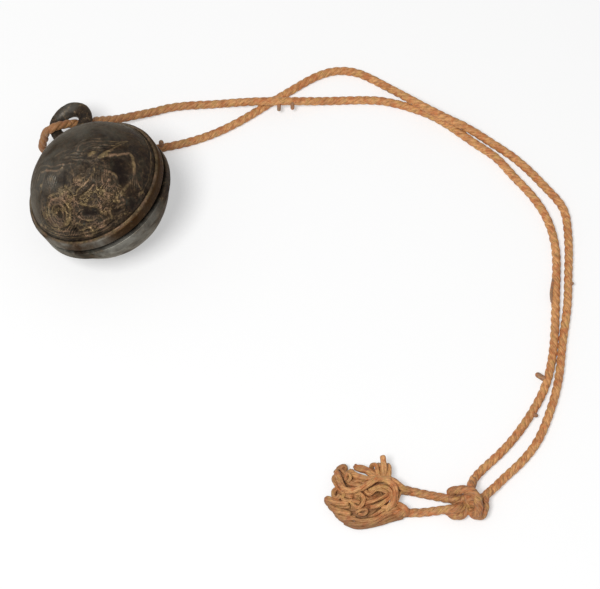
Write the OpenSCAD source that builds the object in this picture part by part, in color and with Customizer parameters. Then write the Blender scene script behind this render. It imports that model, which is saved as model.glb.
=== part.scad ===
// Round pellet bell with a thick suspension ring, lying on its back cheek, on a long laid cord.
// Millimetres, +Z up. The origin is the middle of the worn flat under the bell.

/* [Bell body] */
// Diameter of each cheek where its dome meets the rim band
cheek_d = 78.4; // [74:0.2:82]
// Height of each dome's pole above the middle of the slot
dome_rise = 38; // [36:0.5:40]
// Thickness of the cast wall
wall = 3; // [2.4:0.1:3.6]
// How far the rim bands stand out beyond the cheeks
rim_proud = 2.4; // [1.6:0.1:3]
// Height of the rim band on each cheek
band_h = 6.2; // [5.2:0.1:7.2]
// Width of the slot between the cheeks
slot_gap = 3.6; // [3:0.1:4.4]
// Bar radius of the ridge line at the top of each band
ridge_r = 0.9; // [0.6:0.1:1.2]
// Bar radius of the raised lines on the front cheek
relief_r = 0.8; // [0.5:0.1:1.1]

/* [Crown and ring] */
// Angle of the slot that the crown bridges close, each side of the ring
bridge_angle = 50; // [40:1:60]
// Distance of the ring's eye above the rim bands
ring_stand = 16.5; // [15:0.1:18]
// Radius of the ring at the middle of its bar
ring_r = 9.9; // [9.4:0.1:10.4]
// Diameter of the ring's bar
ring_bar_d = 7.8; // [7:0.1:8.4]
// Width of the flat tang that passes between the cheeks
tang_w = 8; // [6:0.5:10]

/* [Pellet] */
// Diameter of the loose iron pellet
pellet_d = 16; // [13:0.5:18]
// Depth of the worn flat that the bell lies on
rest_flat = 0.3; // [0.2:0.05:0.5]

/* [Cord] */
// Diameter of the laid cord
cord_d = 5; // [4.4:0.1:5.2]
// Diameter of one unlaid strand
strand_d = 3; // [2.4:0.1:3.6]
// Outside diameter of the knot
knot_d = 18; // [16:0.5:20]
// Length of the knot
knot_l = 23; // [20:0.5:26]
// Radius of the tangle's middle at the table
tangle_r = 15; // [13:0.5:17]
// Height of the tangle's middle
tangle_h = 11; // [9:0.5:13]

/* [Hidden] */
$fn = 96;

// How the bell lies: its tilt about X, then Y, then Z
lie_roll = -14.3;
lie_lean = -19.6;
lie_turn = 25.5;

// Clearance between curved faces, where the ring seats in the rim, and between soft pieces and the table
clearance = 0.3;
seat_gap = 0.1;
table_gap = 0.1;

// Each dome is a spherical cap from the top of its band to its pole
slot_half = slot_gap / 2;
band_top = slot_half + band_h;
cap_h = dome_rise - band_top;
dome_r = (pow(cheek_d / 2, 2) + pow(cap_h, 2)) / (2 * cap_h);
dome_drop = dome_r - dome_rise;
hollow_r = dome_r - wall;
rim_r = cheek_d / 2 + rim_proud;
rim_inner_r = sqrt(pow(hollow_r, 2) - pow(slot_half + dome_drop, 2));
bell_reach = 2 * rim_r;
centre_z = dome_r - rest_flat;

// Ring, neck, tang and the peened head inside
ring_y = rim_r + ring_stand;
neck_foot_r = 6;
neck_top_r = 4;
head_w = 13;
head_h = 8;
head_t = 4;
bar_r = ring_bar_d / 2;

// Pellet at rest in the back cheek
pellet_r = pellet_d / 2;
pellet_z = centre_z - hollow_r + pellet_r + clearance;

// Relief on the front cheek: angle from the pole, angle round it, radius, first angle and sweep
horn_lines = [
    [43, -49, 12.9, 19, 142],
    [69, -83, 37.6, 128, 41],
    [20, 101, 18.7, 107, 53],
    [45, -50, 8.5, -47, 73],
    [33, 67, 29.1, -142, 31],
    [18, -104, 13.5, -2, 51]];
// Rosettes: angle from the pole, angle round it, radius and number of petals
rosettes = [
    [48, -133, 6.5, 10],
    [65, -109, 3.4, 6]];

// Cord routes, in the order in which the legs leave the ring's eye
cord_r = cord_d / 2;
cord_z = cord_r + table_gap;
cord_sides = 10;
limb_hug = bar_r + cord_r + 0.4;
hug_angles = [40, 65];
over_z = 5.4;
over_slip = 2.2;
upper_fall_route = [[-4.5, 58.5, 18], [5, 63.5, 11.5], [18.5, 70, 6], [28, 73.5, 4], [38, 77, 3]];
upper_table_route = [
    [52.5, 79, 0], [67.5, 80, 0], [84, 79.5, 3], [99.5, 78.5, over_z], [115, 80, 3], [131.5, 82, 0],
    [147.5, 82.5, 0], [163.5, 82, 0], [179, 78, 0], [194, 71.5, 0], [208, 61.5, 0], [220, 51.5, 0],
    [231, 42.5, 0], [240, 31, 0], [249, 19.5, 0], [256.5, 7.5, 0], [261.5, -6.5, 0], [263.5, -21.5, 0],
    [263, -37, 0], [262, -51.5, 0], [261, -66.5, 0], [259.5, -81.5, 0], [257, -95.5, 0], [252.5, -110, 0],
    [245.5, -123.5, 0], [237, -136.5, 0], [227.5, -148, 0], [218, -157.5, 0.5], [211, -166.5, 3],
    [208.5, -174.5, 7]];
lower_fall_route = [[-33, 47, 23.5], [-34.5, 46.5, 17.5], [-36, 45.5, 11], [-34.5, 45.5, 6], [-28, 47, 2.8]];
lower_table_route = [
    [-14, 48.5, 0], [0, 47.5, 0], [14, 47.5, 0], [26, 48, 0], [37, 50, 0], [50, 53.5, 0], [63, 58.5, 0],
    [76, 65.5, 0], [88, 73.5, 0], [99.5, 82, 0], [111, 90, 0], [123, 98, 0], [136, 103, 0],
    [149, 102, 0], [161, 96, 0], [174, 86.5, 2], [188, 75.5, 5.2], [201.5, 67.5, 5], [215, 61, 3],
    [228.5, 53, 0], [241, 43, 0], [251.5, 32, 0], [261.5, 19.5, 0], [269, 8, 0], [271, -5.5, 0],
    [271, -20.5, 0], [270, -35.5, 0], [269, -50.5, 0], [267, -65.5, 0], [264.5, -80.5, 0], [262.5, -95.5, 0],
    [259.5, -110.5, 0], [254.5, -126, 0], [248, -141, 0], [238, -154.5, 0], [228, -164.5, 0.5],
    [220.5, -172.5, 2], [213, -179.5, 4]];
knot_at = [207, -180.5];
turn_lean = 20;
tail_upper_route = [[199, -178.5, 4], [189, -175, 0.5], [178, -172.5, 0.5], [164, -169.5, 2]];
tail_lower_route = [[199, -184, 4], [189, -184, 0.5], [178, -185, 0.5], [163, -183, 2]];
tangle_at = [150.5, -175];
tangle_loops = 10;
loop_r = 5.6;
loop_sweep = 280;
loop_spread = 0.75;
tangle_stretch = 1.2;
golden_angle = 137.5;
stray_from = [163, -168.5, 6.5];
stray_l = 11.5;

// Turns a direction in the bell's own frame into the lying bell's frame
function turn_x(p, a) = [p.x, p.y * cos(a) - p.z * sin(a), p.y * sin(a) + p.z * cos(a)];
function turn_y(p, a) = [p.x * cos(a) + p.z * sin(a), p.y, p.z * cos(a) - p.x * sin(a)];
function turn_z(p, a) = [p.x * cos(a) - p.y * sin(a), p.x * sin(a) + p.y * cos(a), p.z];
function lying(p) = [0, 0, centre_z]
    + turn_z(turn_y(turn_x(p - [0, 0, dome_drop], lie_roll), lie_lean), lie_turn);

// Points where the cord bends round one limb of the ring: side -1 is over the left, 1 is under the right,
// and slip is how far towards the bell it lies on that limb
function eye_points(side, slip) = [for (a = hug_angles)
    lying([side * (ring_r - limb_hug * cos(a)), ring_y - slip * sin(a), -side * limb_hug * sin(a)])];
eye_centre = lying([0, ring_y, 0]);
over_limb = lying([-ring_r, ring_y - over_slip, limb_hug]);
function on_table(route) = [for (p = route) [p.x, p.y, p.z + cord_z]];
upper_route = concat([eye_centre], eye_points(1, 0), upper_fall_route, on_table(upper_table_route));
lower_route = concat([eye_centre], eye_points(-1, over_slip), [over_limb], lower_fall_route,
    on_table(lower_table_route));

// A tube of flat sides swept along a route, with a ring at each of its points
function unit(v) = v / norm(v);
function heading(route, i) = let (last = len(route) - 1)
    unit(route[min(i + 1, last)] - route[max(i - 1, 0)]);
function side_of(h) = unit(cross(h, abs(h.z) > 0.9 ? [0, 1, 0] : [0, 0, 1]));
function ring_at(route, i, r) = let (h = heading(route, i), s = side_of(h), u = cross(s, h))
    [for (k = [0 : cord_sides - 1]) let (a = 360 * k / cord_sides) route[i] + r * (cos(a) * s + sin(a) * u)];
module tube(route, r) {
    rings = len(route);
    points = [for (i = [0 : rings - 1]) each ring_at(route, i, r)];
    sides = [for (i = [0 : rings - 2], k = [0 : cord_sides - 1]) let (
        a = i * cord_sides + k,
        b = i * cord_sides + (k + 1) % cord_sides)
        each [[a, a + cord_sides, b + cord_sides], [a, b + cord_sides, b]]];
    first = [for (k = [1 : cord_sides - 2]) [0, k, k + 1]];
    base = (rings - 1) * cord_sides;
    last = [for (k = [1 : cord_sides - 2]) [base, base + k + 1, base + k]];
    polyhedron(points, concat(sides, first, last));
}

// Moves the bell from its own frame, slot level and ring along +Y, to how it lies
module lie() {
    translate([0, 0, centre_z]) rotate([lie_roll, lie_lean, lie_turn])
        translate([0, 0, -dome_drop]) children();
}

// Half of the bell's section: radius along X, height above the slot's middle along Y
module cheek_section() {
    difference() {
        union() {
            intersection() {
                translate([0, -dome_drop]) circle(dome_r);
                translate([0, slot_half]) square([dome_r, dome_r]);
            }
            translate([rim_inner_r, slot_half]) square([rim_r - rim_inner_r, band_h]);
            translate([cheek_d / 2, band_top]) circle(ridge_r);
        }
        translate([0, -dome_drop]) circle(hollow_r);
        translate([-dome_r, -dome_r]) square([dome_r, 2 * dome_r]);
    }
}

module cheek() {
    rotate_extrude() cheek_section();
}

// Stands children on the front dome at an angle from its pole and an angle round it
module on_dome(from_pole, around, height) {
    translate([0, 0, -dome_drop]) rotate([0, from_pole, around]) translate([0, 0, height]) children();
}

module relief_line(from_pole, around, radius, first, sweep) {
    on_dome(from_pole, around, sqrt(pow(dome_r, 2) - pow(radius, 2)))
        rotate([0, 0, first]) rotate_extrude(angle = sweep) translate([radius, 0]) circle(relief_r);
}

module rosette(from_pole, around, radius, petals) {
    relief_line(from_pole, around, radius, 0, 360);
    on_dome(from_pole, around, dome_r) sphere(radius * 0.25);
    petal_r = radius * 0.6;
    for (k = [0 : petals - 1])
        on_dome(from_pole, around, sqrt(pow(dome_r, 2) - pow(petal_r, 2)))
            rotate([0, 0, 360 * k / petals]) translate([petal_r, 0, 0]) sphere(radius * 0.13);
}

module front_shell() color([0.33, 0.25, 0.16]) lie() {
    union() {
        cheek();
        for (line = horn_lines) relief_line(line[0], line[1], line[2], line[3], line[4]);
        for (flower = rosettes) rosette(flower[0], flower[1], flower[2], flower[3]);
    }
}

module back_shell() color([0.36, 0.31, 0.24]) difference() {
    lie() mirror([0, 0, 1]) cheek();
    translate([-bell_reach, -bell_reach, -bell_reach]) cube([2 * bell_reach, 2 * bell_reach, bell_reach]);
}

module tang_space() {
    translate([-tang_w / 2, 0, -slot_half]) cube([tang_w, rim_r + neck_foot_r, slot_gap]);
}

module crown_bridge(first) color([0.42, 0.33, 0.2]) lie() difference() {
    rotate([0, 0, first]) rotate_extrude(angle = bridge_angle)
        translate([rim_inner_r, -slot_half]) square([rim_r - rim_inner_r, slot_gap]);
    tang_space();
}

module crown_bridge_left() crown_bridge(90);

module crown_bridge_right() crown_bridge(90 - bridge_angle);

module suspension_ring() color([0.3, 0.26, 0.21]) lie() union() {
    difference() {
        union() {
            translate([0, ring_y, 0]) rotate_extrude() translate([ring_r, 0]) circle(bar_r);
            translate([0, rim_r - neck_top_r, 0]) rotate([-90, 0, 0])
                cylinder(r1 = neck_foot_r, r2 = neck_top_r, h = ring_stand - ring_r + neck_top_r);
        }
        cylinder(r = rim_r + seat_gap, h = 2 * band_top, center = true);
    }
    intersection() {
        translate([-tang_w / 2, hollow_r - head_t, -slot_half])
            cube([tang_w, rim_r + bar_r - hollow_r + head_t, slot_gap]);
        cylinder(r = rim_r + bar_r / 2, h = slot_gap, center = true);
    }
    intersection() {
        translate([-head_w / 2, rim_inner_r - head_t, -head_h / 2]) cube([head_w, 2 * head_t, head_h]);
        cylinder(r = rim_inner_r - seat_gap, h = head_h, center = true);
        translate([0, 0, -dome_drop]) sphere(hollow_r - seat_gap);
        translate([0, 0, dome_drop]) sphere(hollow_r - seat_gap);
    }
}

module pellet() color([0.2, 0.19, 0.18]) translate([0, 0, pellet_z]) sphere(pellet_r);

module cord_upper_leg() color([0.78, 0.49, 0.25]) tube(upper_route, cord_r);

module cord_lower_leg() color([0.76, 0.47, 0.24]) tube(lower_route, cord_r);

// The knot is a core with three leaning turns of cord round it
module end_knot() color([0.72, 0.44, 0.22]) {
    turn_r = knot_d / 2 - cord_r;
    turn_step = (knot_l - cord_d) / 2 - turn_r * sin(turn_lean) / 2;
    translate([knot_at.x, knot_at.y, knot_d / 2 + table_gap]) rotate([0, 90, 0]) union() {
        cylinder(r = turn_r, h = knot_l - cord_d, center = true);
        for (k = [-1 : 1])
            translate([0, 0, k * turn_step]) rotate([turn_lean, 0, 0])
                rotate_extrude() translate([turn_r, 0]) circle(cord_r);
    }
}

module knot_tail_upper() color([0.74, 0.46, 0.23]) tube(on_table(tail_upper_route), cord_r);

module knot_tail_lower() color([0.74, 0.46, 0.23]) tube(on_table(tail_lower_route), cord_r);

// Loops of unlaid strand leaning on a low heap, with one stray end
module strand_tangle() color([0.77, 0.52, 0.29]) {
    strand_r = strand_d / 2;
    heap_r = (pow(tangle_r, 2) + pow(tangle_h, 2)) / (2 * tangle_h);
    translate([tangle_at.x, tangle_at.y, table_gap]) union() {
        intersection() {
            translate([0, 0, tangle_h - heap_r]) sphere(heap_r);
            cylinder(r = tangle_r + strand_d, h = tangle_h);
        }
        for (k = [0 : tangle_loops - 1]) {
            around = golden_angle * k;
            out = loop_spread * tangle_r * sqrt((k + 0.5) / tangle_loops);
            tilt = 16 + 11 * (k % 4);
            radius = loop_r + 0.7 * (k % 3);
            lift = 0.6 * (tangle_h - strand_d) * (1 - pow(out / tangle_r, 2));
            translate([out * cos(around) * tangle_stretch, out * sin(around) / tangle_stretch,
                radius * sin(tilt) + strand_r + lift]) rotate([0, tilt, around]) rotate([0, 0, 40 * k])
                rotate_extrude(angle = loop_sweep) translate([radius, 0]) circle(strand_r);
        }
    }
    translate(stray_from) rotate([-80, 0, 0]) {
        cylinder(r = strand_r, h = stray_l);
        translate([0, 0, stray_l]) sphere(strand_r);
    }
}

front_shell();
back_shell();
crown_bridge_left();
crown_bridge_right();
suspension_ring();
pellet();
cord_upper_leg();
cord_lower_leg();
end_knot();
knot_tail_upper();
knot_tail_lower();
strand_tangle();
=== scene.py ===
"""Looks of a round bronze pellet bell on its laid cord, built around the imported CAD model."""
import math
import random

import bpy
import numpy as np
from mathutils import Matrix, Vector, noise


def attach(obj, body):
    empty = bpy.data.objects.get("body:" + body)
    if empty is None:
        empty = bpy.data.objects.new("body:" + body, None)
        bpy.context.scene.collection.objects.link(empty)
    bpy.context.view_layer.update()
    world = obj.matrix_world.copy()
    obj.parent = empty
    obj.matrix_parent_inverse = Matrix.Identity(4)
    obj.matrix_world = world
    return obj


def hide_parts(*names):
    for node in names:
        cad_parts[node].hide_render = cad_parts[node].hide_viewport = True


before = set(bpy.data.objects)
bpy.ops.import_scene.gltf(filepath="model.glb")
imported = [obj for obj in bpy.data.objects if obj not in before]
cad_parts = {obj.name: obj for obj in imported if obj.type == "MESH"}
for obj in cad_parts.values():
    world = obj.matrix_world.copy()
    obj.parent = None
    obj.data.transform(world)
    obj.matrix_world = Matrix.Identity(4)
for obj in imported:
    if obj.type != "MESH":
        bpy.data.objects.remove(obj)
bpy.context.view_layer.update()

# Sizes in millimetres and the angles of the bell's lie, as in part.scad
MM = 0.001
CHEEK_D = 78.4
DOME_RISE = 38.0
WALL = 3.0
RIM_PROUD = 2.4
BAND_H = 6.2
SLOT_GAP = 3.6
RING_STAND = 16.5
RING_R = 9.9
RING_BAR_D = 7.8
TANG_W = 8.0
REST_FLAT = 0.3
CORD_D = 5.0
TABLE_GAP = 0.1
LIE_ROLL = math.radians(-14.3)
LIE_LEAN = math.radians(-19.6)
LIE_TURN = math.radians(25.5)

# Shape of the bell that follows from them
SLOT_HALF = SLOT_GAP / 2
BAND_TOP = SLOT_HALF + BAND_H
CAP_H = DOME_RISE - BAND_TOP
DOME_R = ((CHEEK_D / 2) ** 2 + CAP_H ** 2) / (2 * CAP_H)
DOME_DROP = DOME_R - DOME_RISE
HOLLOW_R = DOME_R - WALL
RIM_R = CHEEK_D / 2 + RIM_PROUD
RIM_INNER_R = math.sqrt(HOLLOW_R ** 2 - (SLOT_HALF + DOME_DROP) ** 2)
CENTRE_Z = DOME_R - REST_FLAT
RING_Y = RIM_R + RING_STAND
BAR_R = RING_BAR_D / 2
CORD_R = CORD_D / 2
CORD_Z = CORD_R + TABLE_GAP

# From the bell's own frame, slot level and ring along +Y, to how it lies
LYING = (
    Matrix.Translation((0, 0, CENTRE_Z))
    @ Matrix.Rotation(LIE_TURN, 4, "Z")
    @ Matrix.Rotation(LIE_LEAN, 4, "Y")
    @ Matrix.Rotation(LIE_ROLL, 4, "X")
    @ Matrix.Translation((0, 0, -DOME_DROP))
)
IN_METRES = Matrix.Scale(MM, 4)

# The camera looks down on the table, with the photograph's scale at its target
VIEW_TARGET = Vector((0.1154, -0.0475, 0.0))
VIEW_DISTANCE = 1.5
VIEW_RISE = math.radians(62.0)
VIEW_WIDTH = 0.345
SENSOR = 36.0


def put_in_scene(made):
    bpy.context.scene.collection.objects.link(made)


def make_camera():
    camera = bpy.data.cameras.new("camera")
    camera.sensor_width = SENSOR
    camera.lens = SENSOR * VIEW_DISTANCE / VIEW_WIDTH
    holder = bpy.data.objects.new("camera", camera)
    back = Vector((0, -math.cos(VIEW_RISE), math.sin(VIEW_RISE)))
    holder.location = VIEW_TARGET + VIEW_DISTANCE * back
    holder.rotation_euler = (math.pi / 2 - VIEW_RISE, 0, 0)
    put_in_scene(holder)
    bpy.context.scene.camera = holder


make_camera()


def lying(x, y, z):
    """A point of the bell's own frame where the bell lies, in millimetres."""
    return tuple(LYING @ Vector((x, y, z)))


# Cord routes in millimetres, as in part.scad
HUG_GAP = 0.4
LIMB_HUG = BAR_R + CORD_R + HUG_GAP
HUG_ANGLES = (40, 65)
OVER_Z = 5.4
OVER_SLIP = 2.2
UPPER_FALL = [(-4.5, 58.5, 18), (5, 63.5, 11.5), (18.5, 70, 6), (28, 73.5, 4), (38, 77, 3)]
UPPER_TABLE = [
    (52.5, 79, 0), (67.5, 80, 0), (84, 79.5, 3), (99.5, 78.5, OVER_Z), (115, 80, 3), (131.5, 82, 0),
    (147.5, 82.5, 0), (163.5, 82, 0), (179, 78, 0), (194, 71.5, 0), (208, 61.5, 0), (220, 51.5, 0),
    (231, 42.5, 0), (240, 31, 0), (249, 19.5, 0), (256.5, 7.5, 0), (261.5, -6.5, 0), (263.5, -21.5, 0),
    (263, -37, 0), (262, -51.5, 0), (261, -66.5, 0), (259.5, -81.5, 0), (257, -95.5, 0),
    (252.5, -110, 0), (245.5, -123.5, 0), (237, -136.5, 0), (227.5, -148, 0), (218, -157.5, 0.5),
    (211, -166.5, 3), (208.5, -174.5, 7)]
LOWER_FALL = [(-33, 47, 23.5), (-34.5, 46.5, 17.5), (-36, 45.5, 11), (-34.5, 45.5, 6), (-28, 47, 2.8)]
LOWER_TABLE = [
    (-14, 48.5, 0), (0, 47.5, 0), (14, 47.5, 0), (26, 48, 0), (37, 50, 0), (50, 53.5, 0), (63, 58.5, 0),
    (76, 65.5, 0), (88, 73.5, 0), (99.5, 82, 0), (111, 90, 0), (123, 98, 0), (136, 103, 0),
    (149, 102, 0), (161, 96, 0), (174, 86.5, 2), (188, 75.5, 5.2), (201.5, 67.5, 5), (215, 61, 3),
    (228.5, 53, 0), (241, 43, 0), (251.5, 32, 0), (261.5, 19.5, 0), (269, 8, 0), (271, -5.5, 0),
    (271, -20.5, 0), (270, -35.5, 0), (269, -50.5, 0), (267, -65.5, 0), (264.5, -80.5, 0),
    (262.5, -95.5, 0), (259.5, -110.5, 0), (254.5, -126, 0), (248, -141, 0), (238, -154.5, 0),
    (228, -164.5, 0.5), (220.5, -172.5, 2), (213, -179.5, 4)]
TAIL_UPPER = [(199, -178.5, 4), (189, -175, 0.5), (178, -172.5, 0.5), (164, -169.5, 2)]
TAIL_LOWER = [(199, -184, 4), (189, -184, 0.5), (178, -185, 0.5), (163, -183, 2)]


def on_table(route):
    """A route whose heights start from a cord that lies on the table."""
    return [(x, y, z + CORD_Z) for x, y, z in route]


def eye_points(side, slip):
    """Points where the cord bends round one limb of the ring: -1 is over the left, 1 is under the right."""
    points = []
    for angle in HUG_ANGLES:
        turn = math.radians(angle)
        across = side * (RING_R - LIMB_HUG * math.cos(turn))
        points.append(lying(across, RING_Y - slip * math.sin(turn), -side * LIMB_HUG * math.sin(turn)))
    return points


EYE_CENTRE = lying(0, RING_Y, 0)
OVER_LIMB = lying(-RING_R, RING_Y - OVER_SLIP, LIMB_HUG)
UPPER_ROUTE = [EYE_CENTRE] + eye_points(1, 0) + UPPER_FALL + on_table(UPPER_TABLE)
LOWER_ROUTE = [EYE_CENTRE] + eye_points(-1, OVER_SLIP) + [OVER_LIMB] + LOWER_FALL + on_table(LOWER_TABLE)

# The cord has three full strands with a left-hand lay
STRANDS = 3
LAY = 14.4
STRAND_R = 0.67 * CORD_R
STRAND_OUT = 0.36 * CORD_R
STRAND_SIDES = 12
CORD_STEP = 0.7
# How much a strand's radius varies along the legs and past them, and how closely
LEG_SWELL = 0.07
END_SWELL = 0.08
SWELL_PITCH = 0.35
# Chance numbers of the tails and the knot, and the steps from one strand to the next
TAIL_CHANCE = 31.0
KNOT_CHANCE = 50.0
STRAND_CHANCE = 7.0
KNOT_STRAND_CHANCE = 9.0
# Where in the lay the tails start, and how much later each next turn of the knot does
TAIL_LAY_START = 5.0
KNOT_LAY_STEP = 3.0
# Rings that draw the ends of a strand in: how far out and how wide they are, as shares of its radius
END_RINGS = ((0.98, 0.12), (0.8, 0.55), (0.45, 0.88))
# A smooth route is first worked out at this many points a step, with some to spare, and keeps a few at least
FINE_POINTS = 6
SPARE_POINTS = 12
FEWEST_POINTS = 4
# A route that starts steeper than this takes Y, and not Z, as its first direction across
STEEP_START = 0.9


def run_along(points):
    """Distance along a route at each of its points."""
    return np.concatenate([[0], np.cumsum(np.linalg.norm(np.diff(points, axis=0), axis=1))])


def smooth_route(points, step):
    """Evenly spaced points on a natural cubic curve through given ones."""
    knots = np.array(points, float)
    spans = np.linalg.norm(np.diff(knots, axis=0), axis=1)
    reach = np.concatenate([[0], np.cumsum(spans)])
    count = len(knots)
    system = np.eye(count)
    bends = np.zeros_like(knots)
    for i in range(1, count - 1):
        system[i, i - 1:i + 2] = spans[i - 1], 2 * (spans[i - 1] + spans[i]), spans[i]
        bends[i] = 6 * ((knots[i + 1] - knots[i]) / spans[i] - (knots[i] - knots[i - 1]) / spans[i - 1])
    second = np.linalg.solve(system, bends)
    fine = np.linspace(0, reach[-1], int(reach[-1] / step) * FINE_POINTS + SPARE_POINTS)
    part = np.clip(np.searchsorted(reach, fine, side="right") - 1, 0, count - 2)
    span = spans[part][:, None]
    right = (fine - reach[part])[:, None]
    left = span - right
    curve = (
        (second[part] * left ** 3 + second[part + 1] * right ** 3) / (6 * span)
        + (knots[part] / span - second[part] * span / 6) * left
        + (knots[part + 1] / span - second[part + 1] * span / 6) * right
    )
    run = run_along(curve)
    even = np.linspace(0, run[-1], max(FEWEST_POINTS, int(round(run[-1] / step)) + 1))
    return np.stack([np.interp(even, run, curve[:, k]) for k in range(3)], axis=1)


def unit_rows(rows):
    return rows / np.maximum(np.linalg.norm(rows, axis=1, keepdims=True), 1e-12)


def frames_along(centre):
    """Two directions across a route at each point, turned as little as possible from one to the next."""
    tangent = unit_rows(np.gradient(centre, axis=0))
    normal = np.zeros_like(centre)
    start = np.array((0.0, 0.0, 1.0)) if abs(tangent[0, 2]) < STEEP_START else np.array((0.0, 1.0, 0.0))
    for i in range(len(centre)):
        start = start - tangent[i] * np.dot(start, tangent[i])
        start = start / np.linalg.norm(start)
        normal[i] = start
    return normal, np.cross(tangent, normal)


class TubeMesh:
    """Collects closed tubes into one mesh, with a UV map that runs round and along each."""

    def __init__(self):
        self.points = []
        self.faces = []
        self.uvs = []
        self.count = 0

    def add(self, centre, radii, sides, start=0.0, round_ends=False):
        radii = np.broadcast_to(np.asarray(radii, float), (len(centre),)).copy()
        if round_ends:
            centre, radii = rounded_ends(centre, radii)
        normal, side = frames_along(centre)
        turn = np.linspace(0, 2 * math.pi, sides, endpoint=False)
        ring = normal[:, None] * np.cos(turn)[None, :, None] + side[:, None] * np.sin(turn)[None, :, None]
        points = centre[:, None] + ring * radii[:, None, None]
        run = run_along(centre) + start
        base = self.count
        rings = len(centre)
        self.points.append(points.reshape(-1, 3))
        for i in range(rings - 1):
            for k in range(sides):
                a = base + i * sides + k
                b = base + i * sides + (k + 1) % sides
                self.faces.append((a, b, b + sides, a + sides))
                self.uvs.extend([(k / sides, run[i]), ((k + 1) / sides, run[i]),
                                 ((k + 1) / sides, run[i + 1]), (k / sides, run[i + 1])])
        self.faces.append(tuple(base + k for k in reversed(range(sides))))
        self.uvs.extend([(k / sides, run[0]) for k in reversed(range(sides))])
        self.faces.append(tuple(base + (rings - 1) * sides + k for k in range(sides)))
        self.uvs.extend([(k / sides, run[-1]) for k in range(sides)])
        self.count += rings * sides

    def piece(self, name):
        mesh = bpy.data.meshes.new(name)
        points = np.concatenate(self.points) * MM
        mesh.from_pydata(points.tolist(), [], self.faces)
        layer = mesh.uv_layers.new(name="lay")
        layer.data.foreach_set("uv", np.array(self.uvs, np.float32).ravel())
        mesh.polygons.foreach_set("use_smooth", [True] * len(mesh.polygons))
        mesh.validate()
        made = bpy.data.objects.new(name, mesh)
        put_in_scene(made)
        return made


def rounded_ends(centre, radii):
    """Adds rings that draw both ends of a tube in."""
    tangent = unit_rows(np.gradient(centre, axis=0))
    head = [centre[0] - tangent[0] * radii[0] * out for out, _ in END_RINGS]
    foot = [centre[-1] + tangent[-1] * radii[-1] * out for out, _ in reversed(END_RINGS)]
    head_r = [radii[0] * share for _, share in END_RINGS]
    foot_r = [radii[-1] * share for _, share in reversed(END_RINGS)]
    return np.vstack([head, centre, foot]), np.concatenate([head_r, radii, foot_r])


def laid_strands(centre, first, last, start=0.0, lay=LAY, out=STRAND_OUT, strands=STRANDS):
    """Centrelines of the strands of a laid cord, over part of its whole centreline."""
    normal, side = frames_along(centre)
    run = run_along(centre) + start
    lines = []
    for k in range(strands):
        turn = -2 * math.pi * (run / lay + k / strands)
        line = centre + out * (normal * np.cos(turn)[:, None] + side * np.sin(turn)[:, None])
        lines.append(line[first:last])
    return lines


def strand_swell(centre, seed, amount):
    """A slowly varying factor on a strand's radius, as in hand-made cord."""
    shift = Vector((seed, 0, 0))
    return np.array([1 + amount * noise.noise(Vector(p) * SWELL_PITCH + shift) for p in centre])


def make_leg(name, centre, first, last):
    cord = TubeMesh()
    for k, line in enumerate(laid_strands(centre, first, last)):
        radii = STRAND_R * strand_swell(line, STRAND_CHANCE * k, LEG_SWELL)
        cord.add(line, radii, STRAND_SIDES, start=first * CORD_STEP)
    return cord.piece(name)


whole_cord = smooth_route(LOWER_ROUTE[::-1] + UPPER_ROUTE[1:], CORD_STEP)
eye_index = int(np.argmin(np.linalg.norm(whole_cord - np.array(EYE_CENTRE), axis=1)))
upper_leg = make_leg("cord_upper_leg_laid", whole_cord, eye_index, len(whole_cord))
lower_leg = make_leg("cord_lower_leg_laid", whole_cord, 0, eye_index + 1)


def make_tail(name, route):
    """A short end of the cord past the knot."""
    centre = smooth_route(on_table(route), CORD_STEP)
    cord = TubeMesh()
    for k, line in enumerate(laid_strands(centre, 0, len(centre), start=TAIL_LAY_START)):
        chance = TAIL_CHANCE + STRAND_CHANCE * k
        cord.add(line, STRAND_R * strand_swell(line, chance, END_SWELL), STRAND_SIDES)
    return cord.piece(name), centre * MM


tail_upper, tail_upper_path = make_tail("knot_tail_upper_laid", TAIL_UPPER)
tail_lower, tail_lower_path = make_tail("knot_tail_lower_laid", TAIL_LOWER)


def seen_from_above(about, x, y, z):
    """A place given by how far right of and above a point of the table it is seen, and its height."""
    return (about[0] + x, about[1] + (y - z * math.cos(VIEW_RISE)) / math.sin(VIEW_RISE), z)


# Knot of both legs: what is seen of each turn right of and above the middle, with its height
KNOT_MIDDLE = (205.2, -177.6)
KNOT_TURNS = [
    [(5.8, 12.4, 5.6), (4.6, 9.8, 7.6), (3.3, 7.2, 9), (2.2, 4.2, 8), (1.6, 1, 6), (1.8, -2.2, 5),
     (0.4, -4.9, 4.6), (-2.4, -6.5, 4.4), (-5.6, -6, 4.2), (-8, -4.6, 4), (-9, -3.4, 3.4)],
    [(1.5, -0.4, 4), (-1.2, -1.8, 6.5), (-4, -2.6, 7.6), (-7, -2.8, 6.6)],
    [(15.3, 6.7, 4.6), (12.8, 4.6, 5.4), (11.6, 1.8, 6), (11.6, -1.2, 6.2), (11.2, -3.8, 6),
     (9.8, -6, 5.4), (7, -6.4, 4.8), (4.9, -4.6, 4.2), (2.4, -1, 3.6), (-1.5, 3, 4), (-5.4, 5.6, 6),
     (-7, 6.6, 8.5), (-3.9, 7.6, 11.5), (0, 8, 13.5), (3.9, 7.2, 14.2), (6.5, 4.9, 14),
     (7.6, 1.4, 12.8), (7.9, -1.8, 11), (7.4, -4.4, 8.6), (5.6, -5.4, 6.5), (3.4, -3.6, 4.5)],
    [(0.5, 0.8, 4.5), (-2.5, 2.2, 6.5), (-5, 2.4, 7), (-8, 2.8, 6.4)]]
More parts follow.
